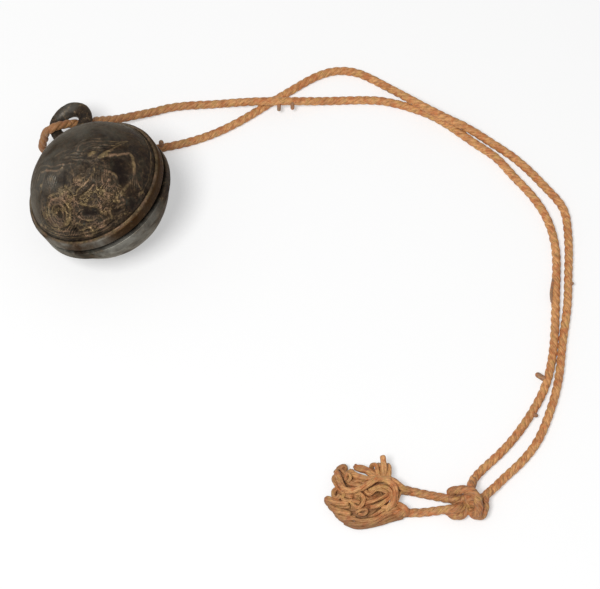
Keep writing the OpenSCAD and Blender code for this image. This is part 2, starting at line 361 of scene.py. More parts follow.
# What fills the middle of the knot: its radius, and where it is seen. Its strands' places and radii are
# shares of that radius
CORE_OUT = 0.4
CORE_STRAND = 0.62
KNOT_CORE = (3.4, [(-4.5, 0, 4), (-1, 1.6, 5), (3.2, 2.6, 6.5), (6.6, 0.4, 6.5), (8.6, -2.4, 5)])


def make_knot():
    knot = TubeMesh()
    for number, turns in enumerate(KNOT_TURNS):
        centre = smooth_route([seen_from_above(KNOT_MIDDLE, *p) for p in turns], CORD_STEP)
        for k, line in enumerate(laid_strands(centre, 0, len(centre), start=KNOT_LAY_STEP * number)):
            chance = KNOT_CHANCE + KNOT_STRAND_CHANCE * k + number
            knot.add(line, STRAND_R * strand_swell(line, chance, END_SWELL), STRAND_SIDES)
    core_r, seen = KNOT_CORE
    core = smooth_route([seen_from_above(KNOT_MIDDLE, *p) for p in seen], CORD_STEP)
    for line in laid_strands(core, 0, len(core), out=CORE_OUT * core_r):
        knot.add(line, CORE_STRAND * core_r, STRAND_SIDES, round_ends=True)
    return knot.piece("end_knot_tied")


end_knot = make_knot()

# Unlaid strands: radius, then what is seen of each right of and above the middle, with its height
TANGLE_MIDDLE = (150.7, -172.8)
TANGLE_STRANDS = [
    (1.75, [(-15, 12.5, 5), (-13.5, 8.5, 8), (-11.5, 4.5, 9.5), (-8.5, 3, 10.5), (-4.5, 3.5, 11.5),
            (0, 5.5, 12), (4.5, 8, 12), (9, 9.5, 11.5), (13.5, 8, 11), (16.5, 5, 10.5), (17, 1, 10),
            (15.5, -3.5, 9), (12, -7, 7)]),
    (1.3, [(3, 3, 8.5), (6.5, 4.5, 9.5), (11, 5, 9.5), (14, 3.5, 9), (14.5, 0, 8.5), (11.5, -2.5, 8.5),
           (7.5, -5, 8.5), (4, -6, 7.5)]),
    (1.1, [(0.5, 3, 8), (2.5, 1, 8.5), (6.5, 3.5, 9), (10, 3, 9), (12.5, 1.5, 8.5), (10, -0.5, 8.5),
           (5.5, -2.5, 8), (0.5, -4, 6.5)]),
    (1.7, [(-7, 13, 5), (-4.5, 11, 7.5), (0, 9.5, 8.5), (3.5, 9, 9), (6.5, 9.5, 9)]),
    (1.6, [(-4.5, 15.5, 4.5), (-3, 14, 6), (1.5, 13, 7), (5, 10.5, 7), (7.5, 10, 7.5)]),
    (1.4, [(4.5, 13.5, 3), (4.5, 16, 5), (6.5, 16.5, 7), (7.5, 13.5, 8), (8, 10.5, 8)]),
    (1.4, [(8.5, 16.5, 5), (10, 13.5, 7.5), (10, 10.5, 8)]),
    (1.7, [(11, 9, 8), (11, 13, 9.5), (11, 16.5, 10.5), (10.5, 21, 12)]),
    (1.5, [(12, 15.5, 4), (13.5, 16, 6), (14, 13.5, 8), (13.5, 10.5, 8)]),
    (1.5, [(-14, 14, 3), (-12.5, 15, 4), (-10.5, 15.5, 4), (-10, 14, 3)]),
    (0.9, [(-10, 8.5, 7), (-10, 10.5, 7.5), (-9, 12, 8), (-7.5, 10.5, 8), (-7.5, 9, 7.5), (-9, 7.5, 7)]),
    (1.4, [(-14, 11, 4.5), (-16, 10, 4), (-16.5, 8, 4.5), (-15.5, 6, 5)]),
    (1.4, [(-14.5, 4, 5), (-16.5, 2.5, 5), (-17, 0.5, 5.5), (-15, -1.5, 6), (-13.5, 0, 7)]),
    (1.7, [(-9.5, -4, 7), (-15, -3.5, 6.5), (-19, -2, 5.5), (-20.5, -2, 4), (-20, -3.8, 3),
           (-17.5, -5, 3), (-13, -6, 4), (-8.5, -6, 5)]),
    (1.8, [(-8.5, -9.5, 6.5), (-13, -8.5, 5.5), (-17, -7, 4), (-18.5, -5.5, 2.5)]),
    (1.6, [(-5.5, -12, 5), (-10.5, -12, 4.5), (-14, -11, 3.5), (-15.5, -9.5, 2.5), (-16.5, -7.5, 2)]),
    (1.4, [(20, -9.5, 3), (15, -9.5, 4), (10, -11.5, 4.5), (4.5, -14, 4.5), (-0.5, -15, 4),
           (-5.5, -15, 3.5), (-10, -13.8, 3), (-13.5, -12, 2.5)]),
    (1.5, [(20.5, -11.5, 2.5), (15, -13, 2.5), (10, -14.5, 2.5), (4.5, -15.6, 2.5), (-0.5, -16.8, 2.2),
           (-5.5, -16.4, 2.2), (-10.5, -14.6, 2)]),
    (1.2, [(19.5, -7.5, 4.5), (11.5, -9, 6), (6.5, -12, 6), (2, -13, 5.5), (-3, -13, 5),
           (-7, -11.5, 5)]),
    (1.9, [(25.5, 2.5, 4), (22, 3.5, 6), (18.5, 6.5, 9), (15, 8.5, 10), (11.5, 9, 10.5)]),
    (1.3, [(24, 1, 3), (20, 1.5, 6), (17.5, -2.5, 8), (14.5, -5.5, 8), (10, -6, 7)]),
    (1.2, [(-5.5, 1, 7), (-3, 1.5, 8), (-0.5, -0.5, 8), (-1, -4, 8), (-3.5, -6, 7.5), (-6.5, -4, 7.5),
           (-8.5, -2.5, 7)]),
    (1.1, [(-10.5, 1, 7), (-12, -1.5, 7), (-9.5, -2.5, 7.5), (-5.5, -2.5, 8), (-3, -3.5, 7.5)]),
    (0.9, [(-4.5, -9, 6), (-2, -7.5, 7), (1.5, -7.5, 7.5), (0.5, -9.5, 6.5), (-3, -9.5, 6)]),
    (1.0, [(3.5, -11, 5), (6.5, -9.5, 6), (10, -7.5, 6.5), (13.5, -6, 7)]),
    (1.9, [(-4.3, 14.8, 4.5), (-1.5, 14.6, 5.5), (1.5, 13.6, 6), (6.5, 11, 6.5)]),
    (1.8, [(-8.7, 12.2, 5), (-6, 10.8, 6), (-3, 9.8, 6.5), (3.4, 8.6, 7)]),
    (1.7, [(-12, 13.6, 3.5), (-10, 10.4, 4.5), (-7.6, 6.6, 5.5), (-2, 5.4, 6)]),
    (1.7, [(-13, 11, 3), (-9, 8, 4), (-4, 7.6, 5), (1.5, 7.6, 5.5), (8, 9, 5.5)]),
    (1.6, [(-15.4, 8.2, 4), (-14.3, 4, 5), (-11, 1, 6), (-7, -0.5, 6)]),
    (1.6, [(4, 12.6, 3.5), (7.5, 12.4, 4.5), (12, 11.4, 5), (14.5, 8.5, 6)]),
    (1.8, [(17.5, -4.5, 5), (20, -5, 6.5), (22.5, -7, 6.5), (23.5, -9.5, 4.5)]),
    (1.6, [(17.5, -11, 3), (20.5, -8.8, 5.5), (23, -8, 5), (25, -9, 4)]),
    (1.6, [(24, -10.5, 2.2), (18, -11, 2.6), (13, -12.2, 2.8), (7, -13.6, 2.6)]),
    (1.4, [(-15.5, 12, 2.5), (-13.5, 14, 3), (-11.5, 14.5, 3), (-10.5, 12, 3)]),
    (1.9, [(3, -11.5, 3), (8, -10.8, 3.2), (12, -9.8, 3.2), (16, -8.6, 3)]),
    (2.0, [(5, 6, 4), (10, 6.6, 4), (13.5, 5.5, 4), (16, 2, 4)])]
# Strands under these that are placed by chance
FILL_SEED = 11
FILL_STRANDS = 46
FILL_POINTS = 5
FILL_R = (1.0, 1.5)
FILL_MIDDLE = (-1.5, -1.0)
FILL_REACH = (14.5, 10.5)
FILL_LOW = 2.4
FILL_HIGH = 7.0
FILL_CHANCE = 40
# How far out of the middle such a strand may be, as shares of the reach
FILL_OUT = (0.1, 0.98)
# Between what its first place out, its turn and drift from point to point, and its rise are chosen
FILL_START = (0.2, 0.95)
FILL_TURN = (0.3, 1.0)
FILL_DRIFT = (-0.3, 0.3)
FILL_RISE = (0.4, 1.0)
# A coil on the table under them all
COIL_R = 2.1
COIL_PITCH = 3.4
COIL_REACH = (12.5, 9.0)
COIL_POINTS = 8
COIL_CHANCE = 99
# Yarns of each strand, with their places and radii as shares of the strand's radius
YARNS = 3
YARN_LAY = 42.0
YARN_OUT = 0.4
YARN_R = 0.64
YARN_SWELL = 0.18
YARN_SIDES = 8
# Steps of the lay's start and of the chance number from strand to strand, and of the fibres' start from
# yarn to yarn
YARN_LAY_STEP = 4.0
YARN_CHANCE = 3.1
YARN_FIBRE_STEP = 5.0
TANGLE_STEP = 0.8


def yarn_bundle(tangle, centre, radius, seed):
    """One unlaid strand: a few yarns that have kept a loose twist."""
    yarn_r = YARN_R * radius
    lines = laid_strands(centre, 0, len(centre), start=YARN_LAY_STEP * seed, lay=YARN_LAY,
                         out=YARN_OUT * radius, strands=YARNS)
    for k, line in enumerate(lines):
        radii = yarn_r * strand_swell(line, YARN_CHANCE * seed + k, YARN_SWELL)
        tangle.add(line, radii, YARN_SIDES, start=YARN_FIBRE_STEP * k, round_ends=True)


def under_tangle(reach, out, turn, height):
    """A place under the tangle, by its share of a reach, its direction and its height."""
    across = FILL_MIDDLE[0] + reach[0] * out * math.cos(turn)
    up = FILL_MIDDLE[1] + reach[1] * out * math.sin(turn)
    return seen_from_above(TANGLE_MIDDLE, across, up, height)


def add_fill(tangle):
    chance = random.Random(FILL_SEED)
    for number in range(FILL_STRANDS):
        turn = chance.uniform(0, 2 * math.pi)
        out = chance.uniform(*FILL_START)
        points = []
        for _ in range(FILL_POINTS):
            turn += chance.uniform(*FILL_TURN)
            out = min(FILL_OUT[1], max(FILL_OUT[0], out + chance.uniform(*FILL_DRIFT)))
            height = FILL_LOW + (FILL_HIGH - FILL_LOW) * (1 - out) * chance.uniform(*FILL_RISE)
            points.append(under_tangle(FILL_REACH, out, turn, height))
        radius = chance.uniform(*FILL_R)
        yarn_bundle(tangle, smooth_route(points, TANGLE_STEP), radius, FILL_CHANCE + number)


def add_coil(tangle):
    points = []
    last = int(COIL_REACH[1] / COIL_PITCH * COIL_POINTS)
    for i in range(last + 1):
        turn = 2 * math.pi * i / COIL_POINTS
        points.append(under_tangle(COIL_REACH, i / last, turn, COIL_R + TABLE_GAP))
    yarn_bundle(tangle, smooth_route(points, TANGLE_STEP), COIL_R, COIL_CHANCE)


def make_tangle():
    tangle = TubeMesh()
    for seed, (radius, seen) in enumerate(TANGLE_STRANDS):
        centre = smooth_route([seen_from_above(TANGLE_MIDDLE, *p) for p in seen], TANGLE_STEP)
        yarn_bundle(tangle, centre, radius, seed)
    add_fill(tangle)
    add_coil(tangle)
    return tangle.piece("strand_tangle_unlaid")


strand_tangle = make_tangle()

# Cut ends of strands that stick out of the cord: start radius, end radius and points
CUT_STEP = 0.4
CUT_SIDES = 10
CUT_ENDS = [
    (1.2, 1.2, [(102.8, 78.5, 7.5), (102.9, 76.2, 6.8), (102.9, 74, 6)]),
    (1.3, 1.2, [(110.8, 79, 7), (110.9, 77, 6.6), (110.9, 75, 6)]),
    (1.5, 1.5, [(33.5, 49.5, 4), (33.6, 50, 5.6), (33.4, 50.5, 7)]),
    (1.6, 1.6, [(254.2, -103.7, 3), (252, -102.3, 3.2), (249.6, -100.7, 3.4)]),
    (1.3, 1.2, [(245, -125.1, 3.4), (246.4, -125.5, 3.4), (247.6, -125.8, 3)]),
    (1.0, 0.9, [(269.6, -43.5, 3.8), (271, -42.9, 3.8), (272, -42.3, 3.8)]),
    (1.0, 1.0, [(261.2, -39.5, 3.4), (260.2, -44.5, 3.6), (259.6, -48.5, 3.6), (259.8, -53.5, 3)])]


def make_cut_ends():
    ends = TubeMesh()
    for start_r, end_r, points in CUT_ENDS:
        centre = smooth_route(points, CUT_STEP)
        ends.add(centre, np.linspace(start_r, end_r, len(centre)), CUT_SIDES, round_ends=True)
    return ends.piece("cut_strand_ends")


cut_ends = make_cut_ends()

for piece, node, slot in (
    (upper_leg, "cord_upper_leg", "cord_upper"),
    (lower_leg, "cord_lower_leg", "cord_lower"),
    (end_knot, "end_knot", "cord_knot"),
    (tail_upper, "knot_tail_upper", "cord_tails"),
    (tail_lower, "knot_tail_lower", "cord_tails"),
    (strand_tangle, "strand_tangle", "cord_strands"),
):
    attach(piece, "bell")
    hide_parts(node)
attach(cut_ends, "bell")


# Bell pieces are modelled in millimetres in the bell's own frame, and then laid down
def pick_only(piece):
    bpy.ops.object.select_all(action="DESELECT")
    piece.select_set(True)
    bpy.context.view_layer.objects.active = piece


def spin_section(name, section, steps):
    """Spins a half section about Z into a closed shell, with its seam and poles merged."""
    mesh = bpy.data.meshes.new(name)
    mesh.from_pydata([(r, 0, z) for r, z in section], [(i, i + 1) for i in range(len(section) - 1)], [])
    piece = bpy.data.objects.new(name, mesh)
    put_in_scene(piece)
    pick_only(piece)
    bpy.ops.object.mode_set(mode="EDIT")
    bpy.ops.mesh.select_all(action="SELECT")
    bpy.ops.mesh.spin(steps=steps, angle=2 * math.pi, center=(0, 0, 0), axis=(0, 0, 1))
    bpy.ops.mesh.select_all(action="SELECT")
    bpy.ops.mesh.remove_doubles(threshold=0.002)
    bpy.ops.mesh.normals_make_consistent(inside=False)
    bpy.ops.object.mode_set(mode="OBJECT")
    bpy.ops.object.shade_smooth()
    return piece


DOME_EDGE = math.asin(CHEEK_D / 2 / DOME_R)
LIP_R = 0.5
RIDGE_R = 0.6
# The band's rounded upper edge, how far it is below the ridge line, and points of the band's face, by how
# far they are out of the rim and below the ridge line
BAND_ROUND = 0.7
BAND_SHOULDER = 1.3
BAND_FACE = ((0.02, 2.4), (0.0, 3.6))
# Points of the dome and of the hollow in a cheek's section, and steps round it
FRONT_POINTS = (166, 12)
FRONT_STEPS = 480
BACK_POINTS = (72, 30)
BACK_STEPS = 300
# What is further out than this share of the wall is the outside
OUTER_SHARE = 0.6


def arc(centre_r, centre_z, radius, first, last, count):
    """Points of a section along an arc, with angles in degrees from the radius outwards."""
    turns = [math.radians(first + (last - first) * i / (count - 1)) for i in range(count)]
    return [(centre_r + radius * math.cos(t), centre_z + radius * math.sin(t)) for t in turns]


def cheek_section(dome_points, hollow_points):
    """The half section of a cheek: dome, ridge line, rim band, slot lip and hollow."""
    section = []
    for i in range(dome_points):
        colat = DOME_EDGE * i / (dome_points - 1)
        section.append((DOME_R * math.sin(colat), DOME_R * math.cos(colat) - DOME_DROP))
    section[0] = (0.0, section[0][1])
    section += arc(CHEEK_D / 2 + RIDGE_R, BAND_TOP, RIDGE_R, 140, 20, 7)
    section += arc(RIM_R - BAND_ROUND, BAND_TOP - BAND_SHOULDER, BAND_ROUND, 70, 0, 5)
    section += [(RIM_R + out, BAND_TOP - down) for out, down in BAND_FACE]
    section += arc(RIM_R - LIP_R, SLOT_HALF + LIP_R, LIP_R, 0, -90, 5)
    section += arc(RIM_INNER_R + LIP_R, SLOT_HALF + LIP_R, LIP_R, -90, -170, 4)
    hollow_edge = math.acos((SLOT_HALF + DOME_DROP + LIP_R) / HOLLOW_R)
    for i in range(hollow_points):
        colat = hollow_edge * (1 - i / (hollow_points - 1))
        section.append((HOLLOW_R * math.sin(colat), HOLLOW_R * math.cos(colat) - DOME_DROP))
    section[-1] = (0.0, section[-1][1])
    return section


# Relief of the front cheek, in millimetres over the dome from its pole: +v is towards the ring.
# Raised lines, and one groove: half width, height and points
RELIEF_LINES = [
    (0.6, 0.4, [(8.5, 2), (12, 2), (16, 1), (20.5, -0.5), (24.5, -2), (29.5, -3)]),
    (0.6, 0.45, [(24, -5.5), (27, -5), (30.5, -3.5), (34.5, -2.5)]),
    (0.6, 0.5, [(22.5, -8), (26, -7), (29.5, -5.5), (32, -4.5)]),
    (0.6, 0.5, [(-2, -0.5), (1, -1.5), (3.5, -2), (6, -0.5), (7, 1), (9, 2)]),
    (0.6, 0.35, [(5, -7.5), (6.5, -5), (8.5, -3), (11, -2), (14.5, -2), (17.5, -4)]),
    (0.6, 0.35, [(0.5, -3.5), (2.5, -6.5), (5.5, -8), (9.5, -10.5), (13.5, -11.5)]),
    (0.8, 0.6, [(14.5, -11), (18, -9.5), (21, -9), (23.5, -8.5)]),
    (0.7, 0.5, [(15.5, -11.5), (18, -11.5), (21.5, -12)]),
    (0.9, 0.75, [(21.5, -12), (25.5, -12.5), (29.5, -12.5), (32.5, -12.5), (33.5, -14), (33.5, -17.5),
                 (32.5, -21), (31.5, -24.5), (29.5, -27.5)]),
    (0.8, 0.75, [(30, -27), (27, -30), (24, -32), (21, -33.5), (18, -34.5)]),
    (0.5, 0.45, [(31.5, -25), (31, -29), (31, -32.5), (31, -36)]),
    (0.6, 0.5, [(14, -19.5), (17, -21), (19, -23), (19.5, -26), (19, -29.5), (19.5, -32)]),
    (0.6, 0.3, [(21, -16), (21.5, -18), (23, -19.5), (25, -18.5)]),
    (0.7, 0.6, [(-20, 3.5), (-16, 1), (-12.5, -3), (-9, -5.5), (-7, -5.5), (-5.5, -4.5)]),
    (0.6, 0.35, [(-20.5, 9), (-15, 4), (-11, -1), (-7, -3.5)]),
    (0.6, 0.35, [(-7.5, 4.5), (-3, 4), (1.5, 3), (5.5, 2.5), (10, 2.5)]),
    (0.5, 0.35, [(-20.5, 5.5), (-24.5, 3.5), (-28, 1)]),
    (0.5, 0.35, [(-24, 6), (-28.5, 4), (-32, 1)]),
    (0.5, 0.35, [(-18.5, 0), (-22.5, -3), (-26, -5.5)]),
    (0.6, 0.45, [(-1.5, -6), (-2, -9), (-2, -11.5), (-3, -14)]),
    (0.6, 0.3, [(4, -8.5), (4, -12), (2, -15), (-0.5, -16)]),
    (0.6, 0.3, [(11, -12), (10, -15.5), (7, -19), (4, -20.5)]),
    (0.5, -0.4, [(5, -23), (1.5, -24.5), (-2, -25), (-5, -25)]),
    (0.7, 0.6, [(3.5, -21), (0, -22), (-3.5, -22.5), (-6.5, -23.5)]),
    (0.7, 0.5, [(5, -24.5), (1.5, -26), (-2, -26.5), (-5.5, -26.5)]),
    (0.6, 0.5, [(-10, -16.5), (-9, -20), (-9, -24), (-10.5, -27)]),
    (0.6, 0.45, [(-15, -14), (-14, -17.5), (-15, -20)]),
    (0.6, 0.5, [(-24.5, -13), (-20.5, -14), (-16, -16.5), (-13, -20.5), (-12.5, -25)]),
    (0.7, 0.7, [(-32, -18), (-34.5, -21), (-34, -25), (-31.5, -28.5), (-28.5, -31), (-24, -32),
                (-20, -31.5)]),
    (0.6, 0.45, [(-25, -4.5), (-29, -6.5), (-32.5, -12), (-36.5, -16.5), (-37.5, -23), (-34.5, -30),
                 (-29, -34.5)]),
    (0.6, 0.5, [(-12.5, -28), (-9, -29), (-6.5, -31), (-4, -34), (-0.5, -35.5)]),
    (0.6, 0.5, [(-13, -29), (-14.5, -31.5), (-14.5, -34.5), (-12.5, -38), (-9.5, -40.5), (-5, -42)]),
    (0.6, 0.45, [(-17, -39), (-13.5, -40.5), (-9.5, -42.5), (-6, -43.5)]),
    (0.7, 0.6, [(2, -36.5), (1, -38.5), (0, -41)]),
    (0.6, 0.5, [(6, -38.5), (4, -41), (1, -42)]),
    (0.7, 0.6, [(5, -42.5), (4.5, -44.5), (3.5, -46.5)]),
    (0.6, 0.5, [(-2, -41.5), (-1.5, -45), (-4.5, -47), (-8.5, -47)]),
    (0.6, 0.5, [(11, -42.5), (13.5, -42), (16, -42)]),
    (0.6, 0.25, [(35, -28), (33.5, -33), (30.5, -38), (25.5, -42.5)]),
    (0.5, 0.4, [(44, 23), (48.5, 11), (49.5, 0), (48.5, -10.5), (44.5, -22), (38, -32), (29.5, -40)]),
    (0.5, 0.3, [(-6, 1.5), (-1, 1), (3, 0.5), (6.5, 2.5), (10, 4.2), (15, 3.6), (20, 2)]),
    (0.5, 0.3, [(10.5, 0), (14.5, -0.5), (18.5, -2.2), (22, -4.5)])]
# How wide a line's flanks are, as a share of its half width, and the step along it
LINE_SPREAD = 1.2
LINE_STEP = 0.5
# Wear leaves this much of a line's height, and by chance up to so much more, over patches of one size
WEAR_LEAST = 0.55
WEAR_MORE = 0.6
WEAR_PATCHES = (3.5, 3)
# Thin lines along the lower left edge: distance from the edge, half width and height
BORDER_LINES = [(3.0, 0.5, 0.4), (5.0, 0.6, 0.45), (7.4, 0.5, 0.35)]
BORDER_MIDDLE = math.radians(-125)
BORDER_SPREAD = math.radians(48)
# They have their full height this far to each side of their middle
BORDER_FULL = 0.7 * BORDER_SPREAD
# Small beads of the mane and beard, and bright points elsewhere
BEADS = [
    (8, -32.5), (9.5, -34.5), (12.5, -34), (13.5, -37), (17, -36.5), (13.5, -39.5), (11, -38),
    (8, -36.5), (6, -35), (16.5, -39.5), (-13.5, -21.5), (-12, -24), (-7.5, -30.5), (-22.5, -15.5),
    (-42.5, -19.5), (-45, -15), (-25.5, -23.5), (-22.5, -31.5), (-29, -30.5), (0.5, -36), (4, -32),
    (6, -31)]
BEAD_R = 1.0
BEAD_RISE = 0.6
# Bosses: middle, reach each way and height
BOSSES = [
    (12.3, -7.3, 3.2, 1.5, 0.5), (-2.5, -17.5, 2.6, 2.2, 0.8), (-12.5, -23, 1.8, 1.8, 0.7),
    (14.5, -26, 1.4, 1.1, 0.4), (-24.5, -3, 0.9, 0.9, 0.8), (13.5, -47.5, 1.0, 0.8, 0.8),
    (-6, -31.5, 1.3, 1.1, 0.7), (18.5, -10.6, 2.8, 1.0, 0.5)]
# Rings round a middle: place, radius, half width and height
RINGS = [
    (-24, -24.5, 8.4, 0.8, 0.75), (-24.5, -25, 5.8, 0.6, 0.6), (-24.5, -25, 3.4, 0.5, 0.5),
    (-24, -24.5, 10.8, 0.5, 0.4), (-16, -45, 3.4, 0.8, 0.45), (30.5, -40.5, 2.2, 0.6, 0.35),
    (14.5, -25.5, 4.2, 0.7, 0.4)]
# Curled locks: middle, reach each way and height
CURL_PATCHES = [
    (11, -35.5, 9.5, 4.2, 0.75), (3.5, -39, 5.5, 5.0, 0.6), (-14.5, -18, 8.0, 4.0, 0.6),
    (-12.5, -26.5, 6.5, 5.0, 0.6), (-3, -28.5, 7.0, 3.6, 0.6), (9, -29, 6.0, 3.6, 0.55),
    (-16.5, -34, 5.5, 5.0, 0.5), (-9.5, -46, 6.0, 3.4, 0.5), (-24, -24.5, 13, 11, 0.3),
    (-1.5, -19, 5.5, 3.0, 0.4), (16, -31, 4.0, 2.4, 0.4), (-33, -16, 6.0, 6.0, 0.35)]
# Coarse and fine curls: size and chance number
COARSE_CURLS = (3.0, 4)
FINE_CURLS = (1.7, 7)
# How much of the fine curls is added to the coarse ones, what is taken off them, and their share in a lock
FINE_SHARE = 0.35
CURL_OFFSET = 0.3
CURL_SHARE = 0.7
# Distance between the turns of a curl, and the least place of its middle and how far that varies, as shares
# of its size
CURL_PITCH = 0.4
CURL_LEAST = 0.2
CURL_VARY = 0.6
# How much lower a curl is at its edge, and between what distances it falls
CURL_FALL = 0.7
CURL_FALL_AT = (0.4, 0.8)
# Combed hair and scales: middle, reach each way, direction of the strokes in degrees, spacing and height
STROKE_PATCHES = [
    (-18, -7, 5.5, 5.0, 40, 1.5, 0.3), (-34, -31, 6.5, 6.0, -50, 1.6, 0.35),
    (-25, -37, 5.0, 4.0, 10, 1.5, 0.4), (28, -32, 2.4, 4.0, 70, 1.3, 0.3),
    (-30, -4, 5.0, 7.0, 50, 1.9, 0.14), (20, -4.5, 9.0, 3.0, -20, 1.8, 0.22),
    (0, -4, 9.0, 4.0, -30, 2.1, 0.2), (11, -20, 5.0, 4.0, 60, 1.4, 0.2)]
# Sunk places: middle, reach each way and depth
SUNK_PLACES = [
    (24, -21, 7.0, 7.0, 0.7), (23, -28.5, 5.0, 3.4, 0.6), (-8, -36, 5.0, 3.6, 0.5),
    (-4, -39, 3.4, 2.6, 0.45), (-24, -39, 3.2, 2.4, 0.5), (-10, -11.5, 5.5, 4.5, 0.5),
    (5.5, -12.5, 5.5, 3.6, 0.4), (10, -43.8, 3.2, 1.6, 0.5), (2, -49, 5.0, 2.0, 0.5),
    (21.5, -43.5, 4.5, 4.0, 0.5), (-24.5, -26, 2.0, 3.0, 0.45), (-16, -45, 1.4, 1.4, 0.5)]
# Oval places reach this share past their size, and fall over these shares of it
PATCH_REACH = 1.15
PATCH_EDGE = 0.5
SUNK_EDGE = 0.9
# Small curled work lies on the locks, and some all over the lower part, left of an edge where it fades
LOCK_WORK = 1.3
LOWER_WORK = 0.3
LOWER_FROM = (2, 18)
LOWER_EDGE = 22
LOWER_FADE = 8
# Depths over which a sunk place loses this work, and over which it turns dark
BARE_DEPTH = (0.05, 0.5)
DARK_DEPTH = (0.05, 0.7)
# Heights over which the relief is rubbed, how much the ridge line is, and how near a point of it lies
RUBBED_RISE = (0.1, 0.6)
RIDGE_RUBBED = 0.6
RIDGE_NEAR = 0.1
# Distances from the dome's edge over which the relief sets in
RELIEF_EDGE = (0.6, 2.0)
# How far lines and edges wander by chance, over what distance, and the chance number
LINE_WANDER = (0.7, 2.6, 1)
EDGE_WANDER = (3.0, 3.2, 5)
# Dust, and a painted sheen where the light falls, lie thickest on this side of the dome, and round this
# place of the band
DUST_AND_SHEEN_SIDE = (-0.5, 0.87)
DUST_AND_SHEEN_REACH = 34.0
BAND_DUST_AND_SHEEN = 2.1
BAND_DUST_AND_SHEEN_AT = math.radians(-135)
BAND_DUST_AND_SHEEN_SPREAD = (0.6, 1.0)
# On the back cheek dust and a painted sheen lie towards the front of the table, and fade over this distance
BACK_DUST_AND_SHEEN_SIDE = (-0.17, -0.98)
BACK_DUST_AND_SHEEN_REACH = 36.0
# On the ring dust and a painted sheen lie on the far bend and the left limb
RING_DUST_AND_SHEEN_SIDE = (-0.4, 0.92)
RING_DUST_AND_SHEEN_SPREAD = (-5.0, 10.0)


def distance_to_line(u, v, points):
    """How far each place of the dome is from a smooth line over it."""
    route = smooth_route([(x, y, 0) for x, y in points], LINE_STEP)[:, :2]
    least = np.full(len(u), np.inf)
    for (ax, ay), (bx, by) in zip(route[:-1], route[1:]):
        dx, dy = bx - ax, by - ay
        along = np.clip(((u - ax) * dx + (v - ay) * dy) / (dx ** 2 + dy ** 2), 0, 1)
        least = np.minimum(least, np.hypot(u - ax - along * dx, v - ay - along * dy))
    return least


def smooth_share(value, low, high):
    share = np.clip((value - low) / (high - low), 0, 1)
    return share * share * (3 - 2 * share)


# Numbers that scramble a whole place and a chance number
SCRAMBLE = (127.1, 311.7, 74.7)
SCRAMBLE_GAIN = 43758.5453


def lattice(i, j, seed):
    """A repeatable chance value from 0 to 1 at each whole place."""
    scrambled = np.sin(i * SCRAMBLE[0] + j * SCRAMBLE[1] + seed * SCRAMBLE[2]) * SCRAMBLE_GAIN
    return scrambled - np.floor(scrambled)


def soft_noise(u, v, size, seed):
    """Smooth chance values from 0 to 1 with features of one size."""
    i, j = np.floor(u / size), np.floor(v / size)
    a, b = smooth_share(u / size - i, 0, 1), smooth_share(v / size - j, 0, 1)
    low = lattice(i, j, seed) * (1 - a) + lattice(i + 1, j, seed) * a
    high = lattice(i, j + 1, seed) * (1 - a) + lattice(i + 1, j + 1, seed) * a
    return low * (1 - b) + high * b


def curls(u, v, size, seed):
    """Small spirals side by side, from 0 to 1 high."""
    x, y = u / size, v / size
    i, j = np.floor(x), np.floor(y)
    least = np.full(len(u), np.inf)
    turn = np.zeros(len(u))
    for di in (-1, 0, 1):
        for dj in (-1, 0, 1):
            dx = x - (i + di + CURL_LEAST + CURL_VARY * lattice(i + di, j + dj, seed))
            dy = y - (j + dj + CURL_LEAST + CURL_VARY * lattice(i + di, j + dj, seed + 5))
            hand = np.where(lattice(i + di, j + dj, seed + 9) > 0.5, 1, -1)
            out = np.hypot(dx, dy)
            nearer = out < least
            least = np.where(nearer, out, least)
            turn = np.where(nearer, hand * np.arctan2(dy, dx), turn)
    spiral = 0.5 + 0.5 * np.cos(2 * math.pi * least / CURL_PITCH - turn)
    return spiral * (1 - CURL_FALL * smooth_share(least, *CURL_FALL_AT))


def patch_share(u, v, x, y, reach_u, reach_v, edge=PATCH_EDGE):
    """1 in the middle of an oval place, falling to 0 at its edge."""
    return smooth_share(PATCH_REACH - np.hypot((u - x) / reach_u, (v - y) / reach_v), 0, edge)


def wandering(u, v, amount, size, seed):
    """Places of the dome, each moved a little by chance."""
    moved_u = u + amount * (soft_noise(u, v, size, seed) - 0.5)
    moved_v = v + amount * (soft_noise(u, v, size, seed + 1) - 0.5)
    return moved_u, moved_v


